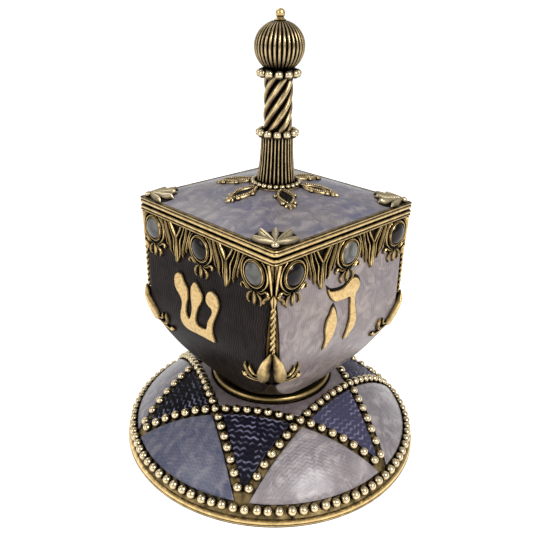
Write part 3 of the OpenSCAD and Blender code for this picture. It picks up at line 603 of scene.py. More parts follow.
CROWN_R, CROWN_Z, FOOT_H, FOOT_STEP, BULGE, SKIN = 13.0, 13.9, 1.5, 0.8, 1.8, 0.45
DOME_WALL, CUP_BORE = 1.6, 11.0
STAND_R = extent("stand_base")[2]
RIM_BEAD_R = STAND_R - 1.7
EDGE_R = STAND_R - FOOT_STEP
CHORD = hypot(EDGE_R - CROWN_R, CROWN_Z - FOOT_H)
ARC_R = (CHORD * CHORD / 4 + BULGE * BULGE) / (2 * BULGE)
OUT_R, OUT_Z = (CROWN_Z - FOOT_H) / CHORD, (EDGE_R - CROWN_R) / CHORD
ARC_CENTRE = ((EDGE_R + CROWN_R) / 2 - OUT_R * (ARC_R - BULGE), (FOOT_H + CROWN_Z) / 2 - OUT_Z * (ARC_R - BULGE))

# How far each lobe of the stand takes painted shade, and each star point a painted reflection, in the second colour
# of its enamel
LOBE_FIRED = (0.1, 0.5, 0.75, 0.4, 0.95, 0.05)
POINT_FIRED = (0.85, 0.4, 0.2, 0.1, 0.0, 0.1)

# Outline of the foot rim, as radius past the rim, height and stain: a rounded toe, a chased line, a lip
FOOT_RIM = ((-0.5, 0.0, 0.0), (-0.12, 0.14, 0.0), (0.0, 0.42, 0.0), (-0.03, 0.62, 0.0), (-0.2, 0.7, 0.8),
            (-0.06, 0.84, 0.0), (-0.05, 1.1, 0.0), (-0.22, 1.36, 0.0), (0.1 - FOOT_STEP, FOOT_H, 0.2))


def dome(r, above=0.0):
    """Point of the dome's outline at a radius, moved out along its normal: (radius, height)."""
    lean = asin((r - ARC_CENTRE[0]) / ARC_R)
    return r + above * sin(lean), ARC_CENTRE[1] + (ARC_R + above) * cos(lean)


def dome_point(r, angle, above=0.0):
    """The same as a point in space, at an angle in radians."""
    flat, z = dome(r, above)
    return flat * cos(angle), flat * sin(angle), z


def star_lines():
    """Distances of the star's edges and middle line from the axis, its turn, and the radius of its beads."""
    stand = settings("stand")
    middle, radius = stand.star_radius / MM / 2, stand.bead_diameter / MM / 2
    strip = radius + 0.02
    return middle - strip, middle, middle + strip, stand.star_turn - pi / 2, radius


def star_reach(line, angle, turn):
    """Reach of one of the star's triangles in a direction; its lines lie at a distance from the axis."""
    return line / max(cos(angle - turn - a) for a in turns(3))


def dome_field(form, angles, low, high, fired=0.0, closed=False):
    """An enamel field on the dome between two radii that depend on the angle, with softened edges."""
    deep, soft, shoulder = 0.02, 0.35, 0.28
    mid = sum(angles) / len(angles)
    rings, plan = [], []
    for a in angles:
        r0, r1 = low(a), high(a)
        ring, flat = [], []
        for t, raised in [(t, 1) for t in shares(22)] + [(1.0, 0), (0.0, 0)]:
            r = r0 + (r1 - r0) * t
            edge = min(1.0, min(t, 1 - t) * (r1 - r0) / soft)
            rim = 1 - shoulder + shoulder * sqrt(max(0.0, 1 - (1 - edge) ** 2))
            ring.append(dome_point(r, a, deep + (SKIN - deep) * rim * raised))
            flat.append((r * sin(a - mid), r * cos(a - mid)))
        rings.append(ring)
        plan.append(flat)
    form.tube(rings, closed, 0, [[fired] * len(rings[0])] * len(rings), plan)


def fan(middle, steps, fits):
    """Angles on both sides of a middle one, as far out as they fit, up to 30 degrees."""
    half = radians(30)
    while not fits(middle + half):
        half -= 0.002
    return [middle + half * (i / steps - 1) for i in range(2 * steps + 1)]


class DREIDEL_OT_stand_casting(bpy.types.Operator):
    """Cast dome of the stand with its foot rim, and the finish of the CAD nodes that stay"""
    bl_idname = "dreidel.stand_casting"
    bl_label = "Stand casting"

    def execute(self, context):
        form, wall = Form(), DOME_WALL
        outside = [dome(EDGE_R + (CUP_BORE - EDGE_R) * t) for t in shares(40)]
        inside = [dome(CUP_BORE + (EDGE_R - 2 * wall - CUP_BORE) * t, -wall) for t in shares(20)]
        rows = [(EDGE_R - wall * 1.5, 0.0, 0.0)] + [(STAND_R + r, z, stain) for r, z, stain in FOOT_RIM]
        rows += [(r, min(z, CROWN_Z), 0.7) for r, z in outside]
        rows += [(r, min(z, CROWN_Z - wall), 0.5) for r, z in inside if z > 0.3]
        form.lathe([(r, z) for r, z, stain in rows], 180, [stain for r, z, stain in rows])
        fit(form, "dome_casting", "gold", "stand", "antique_gold", "stand_base")
        for node, key in (("stand_cup", "dull_gold"), ("spin_point", "dark_gold"), ("box_shell", "dark_gold"),
                          ("stem_rod", "dark_gold"), ("stem_nut", "dark_gold")):
            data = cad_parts[node].data
            data.materials.clear()
            data.materials.append(MATERIALS[key])
        return {"FINISHED"}


class DREIDEL_OT_stand_enamel(bpy.types.Operator):
    """Enamel fields of the stand: six dark star points, six pale lobes and the centre"""
    bl_idname = "dreidel.stand_enamel"
    bl_label = "Stand enamel"

    def execute(self, context):
        inner, _, outer, turn, radius = star_lines()
        rim = RIM_BEAD_R - radius * 0.8
        points, lobes, centre = Form(), Form(), Form()

        def star(line, a, pick):
            return pick(star_reach(line, a, turn), star_reach(line, a, turn + pi / 3))
        for k, own in enumerate(turns(6)):
            own += turn
            tip = own + pi / 3

            def from_line(a):
                return outer / cos(a - tip)

            def to_tip(a):
                return min(star_reach(inner, a, own), rim)
            angles = fan(tip, 20, lambda a: from_line(a) <= to_tip(a))
            dome_field(points, angles, from_line, to_tip, POINT_FIRED[k])
            angles = fan(tip + pi / 6, 24, lambda a: star(outer, a, max) <= rim)
            dome_field(lobes, angles, lambda a: star(outer, a, max), lambda a: rim, LOBE_FIRED[k])
        dome_field(centre, turns(180), lambda a: CROWN_R + 0.05, lambda a: star(inner, a, min), closed=True)
        fit(points, "star_point_enamel", "navy_enamel", "stand", "navy_enamel", "enamel_star_points")
        fit(lobes, "lobe_enamel", "lobe_enamel", "stand", "blue_enamel", "enamel_lobes")
        fit(centre, "centre_enamel", "mauve_enamel", "stand", "mauve_enamel", "enamel_centre")
        return {"FINISHED"}


class DREIDEL_OT_bead_lines(bpy.types.Operator):
    """Beads round the rim of the dome and along the star, one by one a little uneven"""
    bl_idname = "dreidel.bead_lines"
    bl_label = "Bead lines"

    def execute(self, context):
        _, middle, _, turn, radius = star_lines()
        count, uneven, play = settings("stand").rim_beads, random.Random(7), 0.05
        seat = radius * 0.55 + 0.02
        rim = [dome_point(RIM_BEAD_R + uneven.uniform(-play, play),
                          2 * pi * (i + uneven.uniform(-play, play)) / count, seat) for i in range(count)]
        steps, star = 12, []
        pitch = middle * tan(radians(60)) / steps
        for a in turns(6):
            a += turn
            for i in range(1 - steps, steps):
                # The bead where two lines cross is drawn once
                if i != steps // 3:
                    x = middle * cos(a) - i * pitch * sin(a) + uneven.uniform(-play, play)
                    y = middle * sin(a) + i * pitch * cos(a) + uneven.uniform(-play, play)
                    r = hypot(x, y)
                    r -= seat * (r - ARC_CENTRE[0]) / ARC_R
                    star.append(dome_point(r, atan2(y, x), seat))
        bead_string("rim_bead_ring", rim, radius, 0.03, 3, "bead_gold", "stand", "antique_gold", "rim_beads")
        bead_string("star_bead_lines", star, radius, 0.04, 5, "bead_gold", "stand", "antique_gold", "star_beads")
        return {"FINISHED"}


# Box, as in the part's source

BOX_HALF, BELLY_HALF, SWELL_Z, BELLY_Z, TURN_Z, TURN_HALF = 18.25, 18.7, 43.0, 33.5, 21.1, 14.95
END_Z, END_R, CORNER_R, PANEL_T, PANEL_MARGIN = 16.2, 11.6, 25.6, 0.38, 0.6
BELLY_TURN_Z = TURN_Z + (BELLY_Z - TURN_Z) * 0.6
BAND_LOW_Z, SEAM_Z, BAND_REACH = extent("rim_band")
BEZEL_R, BEZEL_WALL, STONE_PITCH = 2.625, 0.5, 14.4
STONE_Z = BAND_LOW_Z - 0.02 - BEZEL_R
DIAGONAL = sqrt(0.5)


def bezier(a, b, c, t):
    """Quadratic curve through a and c, pulled towards b."""
    return a * (1 - t) ** 2 + b * 2 * t * (1 - t) + c * t * t


def level_share(a, b, c, z):
    """Where a falling quadratic curve reaches a height."""
    low, high = 0.0, 1.0
    for _ in range(30):
        mid = (low + high) / 2
        low, high = (mid, high) if bezier(a, b, c, mid) > z else (low, mid)
    return low


def wall_half(z):
    """Half width of the bare box at a height."""
    if z >= SWELL_Z:
        return BOX_HALF
    if z >= BELLY_Z:
        return BOX_HALF + (BELLY_HALF - BOX_HALF) * sin(pi / 2 * (SWELL_Z - z) / (SWELL_Z - BELLY_Z))
    if z >= TURN_Z:
        return bezier(BELLY_HALF, BELLY_HALF, TURN_HALF, level_share(BELLY_Z, BELLY_TURN_Z, TURN_Z, z))
    return END_R + (TURN_HALF - END_R) * (z - END_Z) / (TURN_Z - END_Z)


def corner_reach(z):
    """Radius to which the upright corners are rounded at a height."""
    start = BELLY_Z - (BELLY_Z - TURN_Z) * 0.2
    if z >= start:
        return CORNER_R
    mid = TURN_Z + (BELLY_Z - TURN_Z) * 0.15
    return bezier(CORNER_R, CORNER_R - BOX_HALF * 0.05, END_R, level_share(start, mid, END_Z, z))


def on_face(number):
    """Gives a function that puts (u, v, out) on a face: u to the right, v up, out from the enamel."""
    c, s = round(cos(number * pi / 2)), round(sin(number * pi / 2))

    def place(u, v, lift):
        out = wall_half(v) + PANEL_T + lift
        return u * c + out * s, u * s - out * c, v
    return place


FACES = ("shin", "hei", "gimel", "nun")


class DREIDEL_OT_face_enamel(bpy.types.Operator):
    """Enamel skins of the four faces, curved with the belly and softened at their edges"""
    bl_idname = "dreidel.face_enamel"
    bl_label = "Face enamel"

    def execute(self, context):
        low, high = END_Z + (TURN_Z - END_Z) * 0.1, BAND_LOW_Z - 0.02
        soft, shoulder, crowded = 0.5, 0.18, 1.35
        for number, face in enumerate(FACES):
            form, place = Form(), on_face(number)
            rings, plan = [], []
            for t in shares(64):
                z = low + (high - low) * t
                out = wall_half(z)
                half = min(out - PANEL_MARGIN, sqrt(max(corner_reach(z) ** 2 - (out + PANEL_T) ** 2, 0.01)))
                ring, flat = [], []
                for s in (2 * i / 48 - 1 for i in range(49)):
                    u = half * copysign(1 - (1 - abs(s)) ** crowded, s)
                    edge = min(1.0, (half - abs(u)) / soft)
                    ring.append(place(u, z, -shoulder * (1 - sqrt(max(0.0, 1 - (1 - edge) ** 2)))))
                    flat.append((u, z))
                rings.append(ring + [place(u, z, 0.02 - PANEL_T) for u in (half, -half)])
                plan.append(flat + [(half, z), (-half, z)])
            form.tube(rings, plan=plan)
            key = ("dark_enamel", "light_enamel")[number % 2]
            fit(form, "panel_" + face + "_skin", key, "dreidel", key, "panel_" + face)
        return {"FINISHED"}


# Letters: closed outlines of (u, v) in millimetres, in one brush-like hand

LETTERS = {
    "shin": [(-7.2, 41.3), (-6.1, 41.1), (-5.3, 39.9), (-4.1, 38.6), (-3.9, 37.0), (-4.4, 35.0), (-4.5, 33.4),
             (-3.7, 32.6), (-2.9, 34.0), (-2.7, 35.8), (-3.0, 37.6), (-3.0, 39.6), (-2.0, 41.0), (-0.9, 40.2),
             (0.3, 39.0), (0.3, 37.7), (-0.7, 36.0), (-1.5, 33.8), (-1.4, 32.3), (0.0, 32.1), (1.6, 32.6),
             (2.1, 34.3), (3.2, 36.3), (3.2, 37.2), (2.3, 37.6), (1.5, 38.4), (1.7, 39.9), (2.7, 40.8),
             (4.1, 40.5), (5.0, 39.4), (5.2, 38.2), (4.6, 36.4), (3.7, 34.4), (3.4, 32.3), (3.7, 30.6), (3.5, 30.1),
             (1.1, 30.0), (-1.7, 29.8), (-4.2, 29.6), (-5.8, 30.1), (-6.5, 31.3), (-6.3, 33.0), (-5.8, 35.0),
             (-6.2, 36.4), (-7.6, 37.6), (-8.2, 39.1), (-8.0, 40.5)],
    "hei bar": [(-5.3, 42.6), (-4.3, 41.9), (-2.4, 41.5), (-0.8, 41.5), (0.4, 42.0), (1.7, 42.7), (3.1, 42.4),
                (3.9, 41.4), (3.8, 40.2), (2.9, 39.4), (2.6, 38.2), (2.9, 36.4), (3.3, 34.2), (3.1, 32.6),
                (2.2, 31.3), (0.4, 29.9), (0.8, 32.4), (1.3, 34.4), (1.2, 36.4), (1.2, 38.2), (0.9, 39.0),
                (-0.9, 39.1), (-2.9, 39.3), (-4.1, 40.1), (-4.9, 41.3)],
    "hei leg": [(-3.6, 38.7), (-2.9, 37.3), (-2.5, 35.4), (-2.9, 33.6), (-3.9, 31.9), (-5.6, 30.0), (-5.5, 32.4),
                (-5.8, 34.4), (-5.4, 36.2), (-4.6, 37.2), (-4.1, 38.2)],
    "gimel": [(-3.2, 42.3), (-2.2, 41.6), (-0.6, 41.6), (1.0, 42.2), (2.3, 41.8), (3.0, 40.4), (2.7, 38.6),
              (2.0, 36.6), (2.4, 34.4), (3.4, 32.2), (4.6, 30.4), (3.4, 29.4), (1.9, 29.8), (1.0, 31.4),
              (0.4, 33.4), (-0.6, 32.4), (-2.2, 31.4), (-4.0, 30.0), (-4.2, 31.6), (-3.2, 33.4), (-1.4, 34.6),
              (0.2, 35.6), (0.6, 37.4), (0.4, 39.0), (-0.6, 39.6), (-2.2, 39.8), (-3.2, 40.8)],
    "nun": [(-2.6, 42.2), (-1.6, 41.5), (0.0, 41.6), (1.6, 42.0), (2.6, 41.0), (2.6, 39.2), (2.1, 37.0),
            (2.3, 34.8), (2.8, 32.4), (2.5, 30.2), (1.2, 29.3), (-1.4, 29.4), (-4.4, 29.2), (-3.8, 30.9),
            (-2.2, 31.9), (-0.2, 32.0), (0.6, 33.4), (0.5, 35.6), (0.3, 37.6), (0.2, 39.2), (-0.8, 39.7),
            (-2.2, 40.0), (-2.9, 41.0)],
}


def outline_solid(outline, thick, wider):
    """A flat plate with softened edges from a closed outline, as points (u, v, lift) and faces."""
    data = bpy.data.curves.new("outline", "CURVE")
    data.dimensions, data.fill_mode = "2D", "BOTH"
    data.extrude, data.bevel_depth, data.bevel_resolution = thick * 0.36, thick * 0.14, 2
    data.offset = wider
    line = ease(outline + [outline[0]], 5)[:-1]
    spline = data.splines.new("POLY")
    spline.points.add(len(line) - 1)
    for point, (u, v) in zip(spline.points, line):
        point.co = (u, v, 0.0, 1.0)
    spline.use_cyclic_u = True
    holder = link("outline", data)
    graph = bpy.context.evaluated_depsgraph_get()
    mesh = bpy.data.meshes.new_from_object(holder.evaluated_get(graph), depsgraph=graph)
    points = [tuple(v.co) for v in mesh.vertices]
    faces = [tuple(p.vertices) for p in mesh.polygons]
    bpy.data.objects.remove(holder)
    bpy.data.curves.remove(data)
    bpy.data.meshes.remove(mesh)
    return points, faces


class DREIDEL_OT_letters(bpy.types.Operator):
    """Raised letter of the game on each face"""
    bl_idname = "dreidel.letters"
    bl_label = "Letters"

    def execute(self, context):
        relief = settings("box").letter_height / MM
        for number, face in enumerate(FACES):
            form, place = Form(), on_face(number)
            for part in (name for name in LETTERS if name.startswith(face)):
                # The letter, and a dark plate round it, set off up and to its right as a painted cast shadow
                for thick, wider, rise, mark, aside in ((relief, -0.2, relief * 0.3, 0, 0.0),
                                                        (0.12, 0.2, 0.02, 1, 0.17)):
                    points, faces = outline_solid(LETTERS[part], thick, wider)
                    start = len(form.points)
                    for u, v, lift in points:
                        form.point(place(u + aside, v + aside, lift + rise), (u, v))
                    for corners in faces:
                        form.face((start + i for i in corners), mark)
            fit(form, "letter_" + face, "letter web", "dreidel", "antique_gold", smooth=50)
        return {"FINISHED"}


# Bars of the frieze. Each row says whether the bar has a twin on the other side of the middle line, its
# height as a share, its crown, the depth of the line chased along it, and its points of (u, v, half width)

FRIEZE_TOP, HOOP_R = BAND_LOW_Z + 0.1, 3.2
# Outlines of the dark plates behind a pendant and a hoop, painted shade in the gaps of the open work: (height, half
# width)
PENDANT_GROUND = ((FRIEZE_TOP, 3.4), (48.4, 3.0), (46.0, 1.9), (44.0, 0.6))
PENDANT_BARS = (
    (False, 1.2, 2.0, 0.55, ((0, 48.8, 0.3), (0, 47.2, 0.46), (0, 45.2, 0.62), (0, 43.9, 0.5), (0, 43.1, 0.1))),
    (True, 1.1, 2.0, 0.0, ((1.75, FRIEZE_TOP, 0.34), (1.05, 49.9, 0.34), (0.15, 48.6, 0.3))),
    (True, 0.8, 2.0, 0.0, ((2.5, FRIEZE_TOP, 0.2), (1.75, 49.4, 0.22), (1.0, 47.9, 0.24), (0.98, 45.9, 0.24),
                           (0.62, 44.3, 0.1))),
    (True, 1.1, 2.0, 0.5, ((3.4, FRIEZE_TOP, 0.4), (2.85, 49.0, 0.48), (2.1, 46.9, 0.44), (1.7, 44.6, 0.1))),
    (True, 0.95, 2.0, 0.45, ((4.6, FRIEZE_TOP, 0.36), (3.75, 49.2, 0.42), (3.15, 47.4, 0.36), (2.85, 45.9, 0.1))))
HOOP_GROUND = ((FRIEZE_TOP, 3.5), (STONE_Z, 3.7), (45.4, 2.6), (44.4, 1.4))
HOOP_BARS = (
    (True, 0.95, 2.0, 0.0, [
        (HOOP_R * sin(radians(a)), STONE_Z + HOOP_R * cos(radians(a)), 0.14 + 0.16 * sin(pi * n / 7))
        for n, a in enumerate((34, 52, 70, 88, 106, 124, 144, 160))]),
    (True, 1.0, 1.6, 0.0, ((0.5, STONE_Z - 3.0, 0.12), (1.7, STONE_Z - 3.2, 0.34), (2.7, STONE_Z - 2.5, 0.36),
                           (3.3, STONE_Z - 2.9, 0.28), (3.2, STONE_Z - 3.6, 0.08))),
    (True, 1.0, 1.6, 0.4, ((0.6, 44.9, 0.14), (1.4, 44.3, 0.34), (1.75, 43.4, 0.34), (1.35, 42.5, 0.08))),
    (False, 1.1, 1.6, 0.5, ((0, 45.0, 0.2), (0, 44.2, 0.5), (0, 43.2, 0.42), (0, 42.3, 0.08))))


class DREIDEL_OT_friezes(bpy.types.Operator):
    """Pierced friezes: forked pendants, hoops, brackets and leaves over a dark plate of painted shade"""
    bl_idname = "dreidel.friezes"
    bl_label = "Friezes"

    def execute(self, context):
        box = settings("box")
        for number, face in enumerate(FACES):
            form, place = Form(), on_face(number)
            # A pendant's middle bar comes before its twins, and a hoop's after them
            for stops, sides, ground, bars in (((-0.5, 0.5), (0, -1, 1), PENDANT_GROUND, PENDANT_BARS),
                                               ((-1, 0, 1), (-1, 1, 0), HOOP_GROUND, HOOP_BARS)):
                for c in (stop * STONE_PITCH for stop in stops):
                    # A dark plate behind the bars, painted shade in the gaps
                    plate(form, place, [(c, v, w) for v, w in ground])
                    for s, row in ((s, row) for s in sides for row in bars if row[0] == bool(s)):
                        _, share, crown, groove, line = row
                        strap(form, place, [(c + s * u, v, w * box.bar_width) for u, v, w in line],
                              box.bar_height / MM * share, 0.1, crown, across=8, dark=0.35, groove=groove)
            fit(form, "frieze_" + face + "_relief", "gold web", "dreidel", "antique_gold", "frieze_" + face)
        return {"FINISHED"}


# Outline of a setting, (radius beyond BEZEL_R, height): a thin outer ring, a groove and the ring on the stone
BEZEL_PROFILE = ((0.0, -0.05), (0.0, 0.5), (-0.07, 0.72), (-0.19, 0.68), (-0.22, 0.36), (-0.28, 0.36),
                 (-0.31, 0.74), (-0.42, 0.86), (-BEZEL_WALL, 0.7), (-BEZEL_WALL, -0.05))


class DREIDEL_OT_stones(bpy.types.Operator):
    """Round settings of two fine rings, and the cabochons in them"""
    bl_idname = "dreidel.stones"
    bl_label = "Stones"

    def execute(self, context):
        rims, dark, light = Form(), Form(), Form()
        radius, girdle, rise = BEZEL_R - BEZEL_WALL - 0.02, 0.55, 0.85
        crown = [(0.0, -0.04), (radius, -0.04), (radius, girdle)] + [
            (radius * cos(pi / 2 * t), girdle + rise * sin(pi / 2 * t)) for t in shares(10)[1:-1]]
        crown.append((0.0, girdle + rise))
        for number in range(4):
            place = on_face(number)
            for i in (-1, 0, 1):
                stone = dark if (number + i + 1) % 2 else light
                for form, profile in ((rims, [(BEZEL_R + r, h) for r, h in BEZEL_PROFILE]), (stone, crown)):
                    form.tube([[place(i * STONE_PITCH + r * cos(a), STONE_Z + r * sin(a), h) for r, h in profile]
                               for a in turns(40)], True)
        fit(rims, "bezel_rims", "gold", "dreidel", "antique_gold", "bezels")
        fit(dark, "dark_cabochons", "dark_stone", "dreidel", "dark_stone", "dark_stones")
        fit(light, "light_cabochons", "light_stone", "dreidel", "light_stone", "light_stones")
        return {"FINISHED"}


# Mouldings round the mouth of the box and the lid

LID_LOW_Z, LID_HIGH_Z = SEAM_Z + 0.25, SEAM_Z + 1.55
PILLOW_HALF, PILLOW_RISE = 18.28, 3.3
LID_TOP_Z = LID_HIGH_Z + PILLOW_RISE
MOULDING_CORNER = 0.9
# The round boss of the lid, which the stem stands on
BOSS_R = 5.0


def square_ring(half, z, radius, steps=4):
    """Points of a square with rounded corners, at a height."""
    radius = min(radius, half * 0.5)
    ring = []
    for k in range(4):
        cx = (half - radius) * (1 if k in (0, 3) else -1)
        cy = (half - radius) * (1 if k in (0, 1) else -1)
        ring += [(cx + radius * cos(pi / 2 * (k + t)), cy + radius * sin(pi / 2 * (k + t)), z)
                 for t in shares(steps)]
    return ring


def square_moulding(form, profile):
    """Runs a closed outline of (half width, height, stain, corner radius) round a square."""
    rings = [square_ring(half, z, radius) for half, z, _, radius in profile]
    form.tube(rings, True, patina=[[row[2]] * len(rings[0]) for row in profile])


def bead_profile(high, low, reach, beads):
    """Outline of a run of rounded mouldings between two heights, stained in the grooves between them."""
    result, z, depth, points = [], high, 0.28, 6
    for bead in beads:
        step = (high - low) * bead / sum(beads)
        for i in range(points):
            bulge = sin(pi * (i + 0.5) / points)
            result.append((reach - depth * (1 - bulge ** 0.6) * min(1.0, step * 2), z - step * (i + 0.5) / points,
                           min(1.0, 1.3 * (1 - bulge)), MOULDING_CORNER))
        z -= step
    return result


class DREIDEL_OT_mouldings(bpy.types.Operator):
    """Grooved band round the mouth of the box, and the lid's plate with its moulding and flange"""
    bl_idname = "dreidel.mouldings"
    bl_label = "Mouldings"

    def execute(self, context):
        band, inside = Form(), BOX_HALF + 0.03
        square_moulding(band, bead_profile(SEAM_Z, BAND_LOW_Z, BAND_REACH, (0.8, 0.4)) + [
            (inside, z, 0.5, MOULDING_CORNER) for z in (BAND_LOW_Z, SEAM_Z)])
        fit(band, "mouth_band", "gold", "dreidel", "antique_gold", "rim_band")
        lid, low, flange, depth, wall = Form(), LID_LOW_Z, 16.3, 2.2, 1.0
        square_moulding(lid, bead_profile(LID_HIGH_Z, low, extent("lid_plate")[2], (0.45, 0.85)) + [
            (half, z, 0.4, radius) for half, z, radius in (
                (flange, low, 2.5), (flange, low - depth, 2.5), (flange - wall, low - depth, 1.5),
                (flange - wall, low, 1.5), (0.0, low, MOULDING_CORNER), (0.0, low + 1, MOULDING_CORNER),
                (PILLOW_HALF + 0.02, low + 1, MOULDING_CORNER),
                (PILLOW_HALF + 0.02, LID_HIGH_Z - 0.05, MOULDING_CORNER))])
        bevel = 0.15
        lid.lathe([(0.0, low + 0.5), (BOSS_R, low + 0.5), (BOSS_R, LID_TOP_Z - bevel),
                   (BOSS_R - bevel, LID_TOP_Z), (0.0, LID_TOP_Z)], 72)
        fit(lid, "lid_casting", "gold", "lid", "antique_gold", "lid_plate")
        return {"FINISHED"}


# Corners of the box: every form is drawn once, at one corner, and copied round

def edge_line(u, v, lift):
    """Puts (u, v, lift) on the rounded corner, u across it and v up it."""
    x = corner_reach(v) + 0.02 + lift
    return (x - u) * DIAGONAL, (x + u) * DIAGONAL, v


def corner_face(side):
    """Puts (u, v, lift) on the face beside that corner; u is the distance from the edge."""
    def place(u, v, lift):
        out, along = wall_half(v) + PANEL_T + lift, wall_half(v) - u
        return (out, along, v) if side > 0 else (along, out, v)
    return place


class DREIDEL_OT_corner_trim(bpy.types.Operator):
    """Drops, twisted ropes, two-lobed pods and curled fronds of the four upright corners"""
    bl_idname = "dreidel.corner_trim"
    bl_label = "Corner trim"

    def execute(self, context):
        drop, rope, pods, fronds = Form(), Form(), Form(), Form()
        # A leaf under a fluted shield, with a slim bar and a small leaf on each side
        strap(drop, edge_line, [(0, 45.6, 0.12), (0, 44.7, 0.62), (0, 43.6, 0.5), (0, 42.2, 0.08)],
              0.85, 0.5, 1.6, 5, 8, dark=0.5, groove=0.35)
        strap(drop, edge_line, [(0, BAND_LOW_Z, 0.95), (0, 48.2, 0.7), (0, 45.6, 0.3)],
              0.3, 0.5, 4.0, 4, 8, dark=1.0, groove=0.9)
        for s in (-1, 1):
            strap(drop, edge_line, [(s * 0.95, BAND_LOW_Z, 0.34), (s * 0.6, 48.4, 0.32), (s * 0.42, 46.6, 0.28),
                                    (s * 0.34, 45.2, 0.12)], 0.75, 0.6, dark=0.6)
            strap(drop, corner_face(s), [(0.25, 45.3, 0.1), (0.75, 44.8, 0.4), (1.5, 44.1, 0.36),
                                         (1.6, 43.2, 0.08)], 0.75, 0.1, 1.5, dark=0.6, groove=0.3)
        fit(drop, "corner_drop_leaves", "gold", "dreidel", "antique_gold", "corner_drops", copies=4)

        low, high, strand, offset, lead = 34.2, 43.2, 0.25, 0.22, 2.5
        for start in (0, pi):
            rings = []
            for z in (low + (high - low) * t for t in shares(60)):
                a = start + 2 * pi * (z - low) / lead
                x, y = corner_reach(z) + 0.34 + offset * cos(a), offset * sin(a)
                rings.append([((x + strand * cos(b) - y - strand * sin(b)) * DIAGONAL,
                               (x + strand * cos(b) + y + strand * sin(b)) * DIAGONAL, z) for b in turns(10)])
            rope.tube(rings)
        fit(rope, "corner_rope_twists", "gold", "dreidel", "antique_gold", "corner_ropes", copies=4)

        # Two lobes, with dark plates as painted shadow in the slit between them and in a line under them
        plate(pods, edge_line, [(0, 31.9, 0.08), (0, 30.4, 0.34), (0, 28.6, 0.55), (0, 27.0, 0.7)], 0.3, 0.3)
        for place in (corner_face(-1), corner_face(1)):
            strap(pods, place, [(0.1, 34.5, 0.06), (0.5, 33.4, 0.42), (1.02, 32.0, 0.84), (1.42, 30.5, 1.14),
                                (1.7, 29.0, 1.3), (1.78, 28.0, 1.24), (1.8, 27.4, 0.9)],
                  0.95, 0.3, 2.2, 6, 12, dark=0.8, groove=0.12)
            plate(pods, place, [(0.1, 27.0, 0.3), (2.2, 26.9, 0.34), (4.4, 26.7, 0.14)], 0.25, 0.3)
            strap(fronds, place, [(2.5, 27.7, 0.2), (3.9, 27.2, 0.36), (5.2, 27.7, 0.38), (6.0, 28.9, 0.3),
                                  (6.2, 30.1, 0.07)], 0.75, 0.2, 1.8, 5, 8, dark=0.8, groove=0.4)
            strap(fronds, place, [(2.8, 28.3, 0.12), (3.8, 28.2, 0.28), (4.6, 28.8, 0.26), (5.0, 29.9, 0.06)],
                  0.65, 0.2, 1.8, 5, 8, dark=0.8)
            strap(fronds, place, [(2.5, 27.0, 0.2), (3.9, 26.4, 0.26), (5.2, 26.1, 0.3), (6.3, 26.3, 0.26),
                                  (6.8, 27.0, 0.12)], 0.6, 0.2, 2.0, 5, 8, dark=0.8)
            ball(fronds, place(6.1, 26.6, 0.25), 0.55)
        fit(pods, "corner_pod_lobes", "gold web", "dreidel", "antique_gold", "corner_pods", copies=4)
        fit(fronds, "corner_fronds", "gold", "dreidel", "antique_gold", "pod_scrolls", copies=4)
        return {"FINISHED"}


# Lid

def pillow(x, y):
    """Height of the lid's enamel at a place."""
    return LID_TOP_Z - PILLOW_RISE * (1 - (1 - (x / PILLOW_HALF) ** 2) * (1 - (y / PILLOW_HALF) ** 2))


class DREIDEL_OT_lid_enamel(bpy.types.Operator):
    """Pillow of enamel on the lid"""
    bl_idname = "dreidel.lid_enamel"
    bl_label = "Lid enamel"

    def execute(self, context):
        form, half, inner, low = Form(), PILLOW_HALF - 0.01, BOSS_R + 0.02, SEAM_Z + 1.3
        rings = []
        for a in turns(208):
            edge = half / max(abs(cos(a)), abs(sin(a)))
            ring = [(r * cos(a), r * sin(a), pillow(r * cos(a), r * sin(a)))
                    for r in (inner + (edge - inner) * t for t in shares(28))]
            rings.append(ring + [(r * cos(a), r * sin(a), low) for r in (edge, inner)])
        form.tube(rings, True)
        fit(form, "lid_pillow", "lid_enamel", "lid", "blue_enamel", "lid_enamel")
        return {"FINISHED"}


class DREIDEL_OT_corner_leaves(bpy.types.Operator):
    """Fans of pointed leaves on the lid's corners, with a ball at the tip of each corner"""
    bl_idname = "dreidel.corner_leaves"
    bl_label = "Lid leaves"

    def execute(self, context):
        form, root = Form(), PILLOW_HALF * sqrt(2) - 1.1

        def place(u, v, lift):
            # u across the corner, v from the corner inwards
            x, y = (root - v - u) * DIAGONAL, (root - v + u) * DIAGONAL
            return x, y, max(pillow(x, y), LID_HIGH_Z) + lift
        # A dark plate under the leaves, painted shade between them
        plate(form, place, [(0, -0.6, 0.8), (0, 1.4, 3.0), (0, 3.4, 4.0), (0, 4.9, 3.2)], 0.14, 0.3, 8)
        for angle, length, wide in ((-56, 4.9, 0.66), (-29, 5.9, 0.92), (0, 5.4, 0.8), (29, 5.9, 0.92),
                                    (56, 4.9, 0.66)):
            u, v = length * sin(radians(angle)), length * cos(radians(angle))
            leaf = ((0, 0.3 / wide), (0.3, 0.7), (0.6, 1.0), (0.84, 0.75), (1.0, 0.06 / wide))
            strap(form, place, [(u * t, v * t, wide * w) for t, w in leaf], 1.0, 0.3, 1.8, 5, 10, dark=1.0,
                  groove=0.2)
        ball(form, place(0, -0.3, 0.3), 0.72)
        fit(form, "corner_leaf_fans", "bead_gold web", "lid", "antique_gold", "corner_leaves", copies=4)
        return {"FINISHED"}


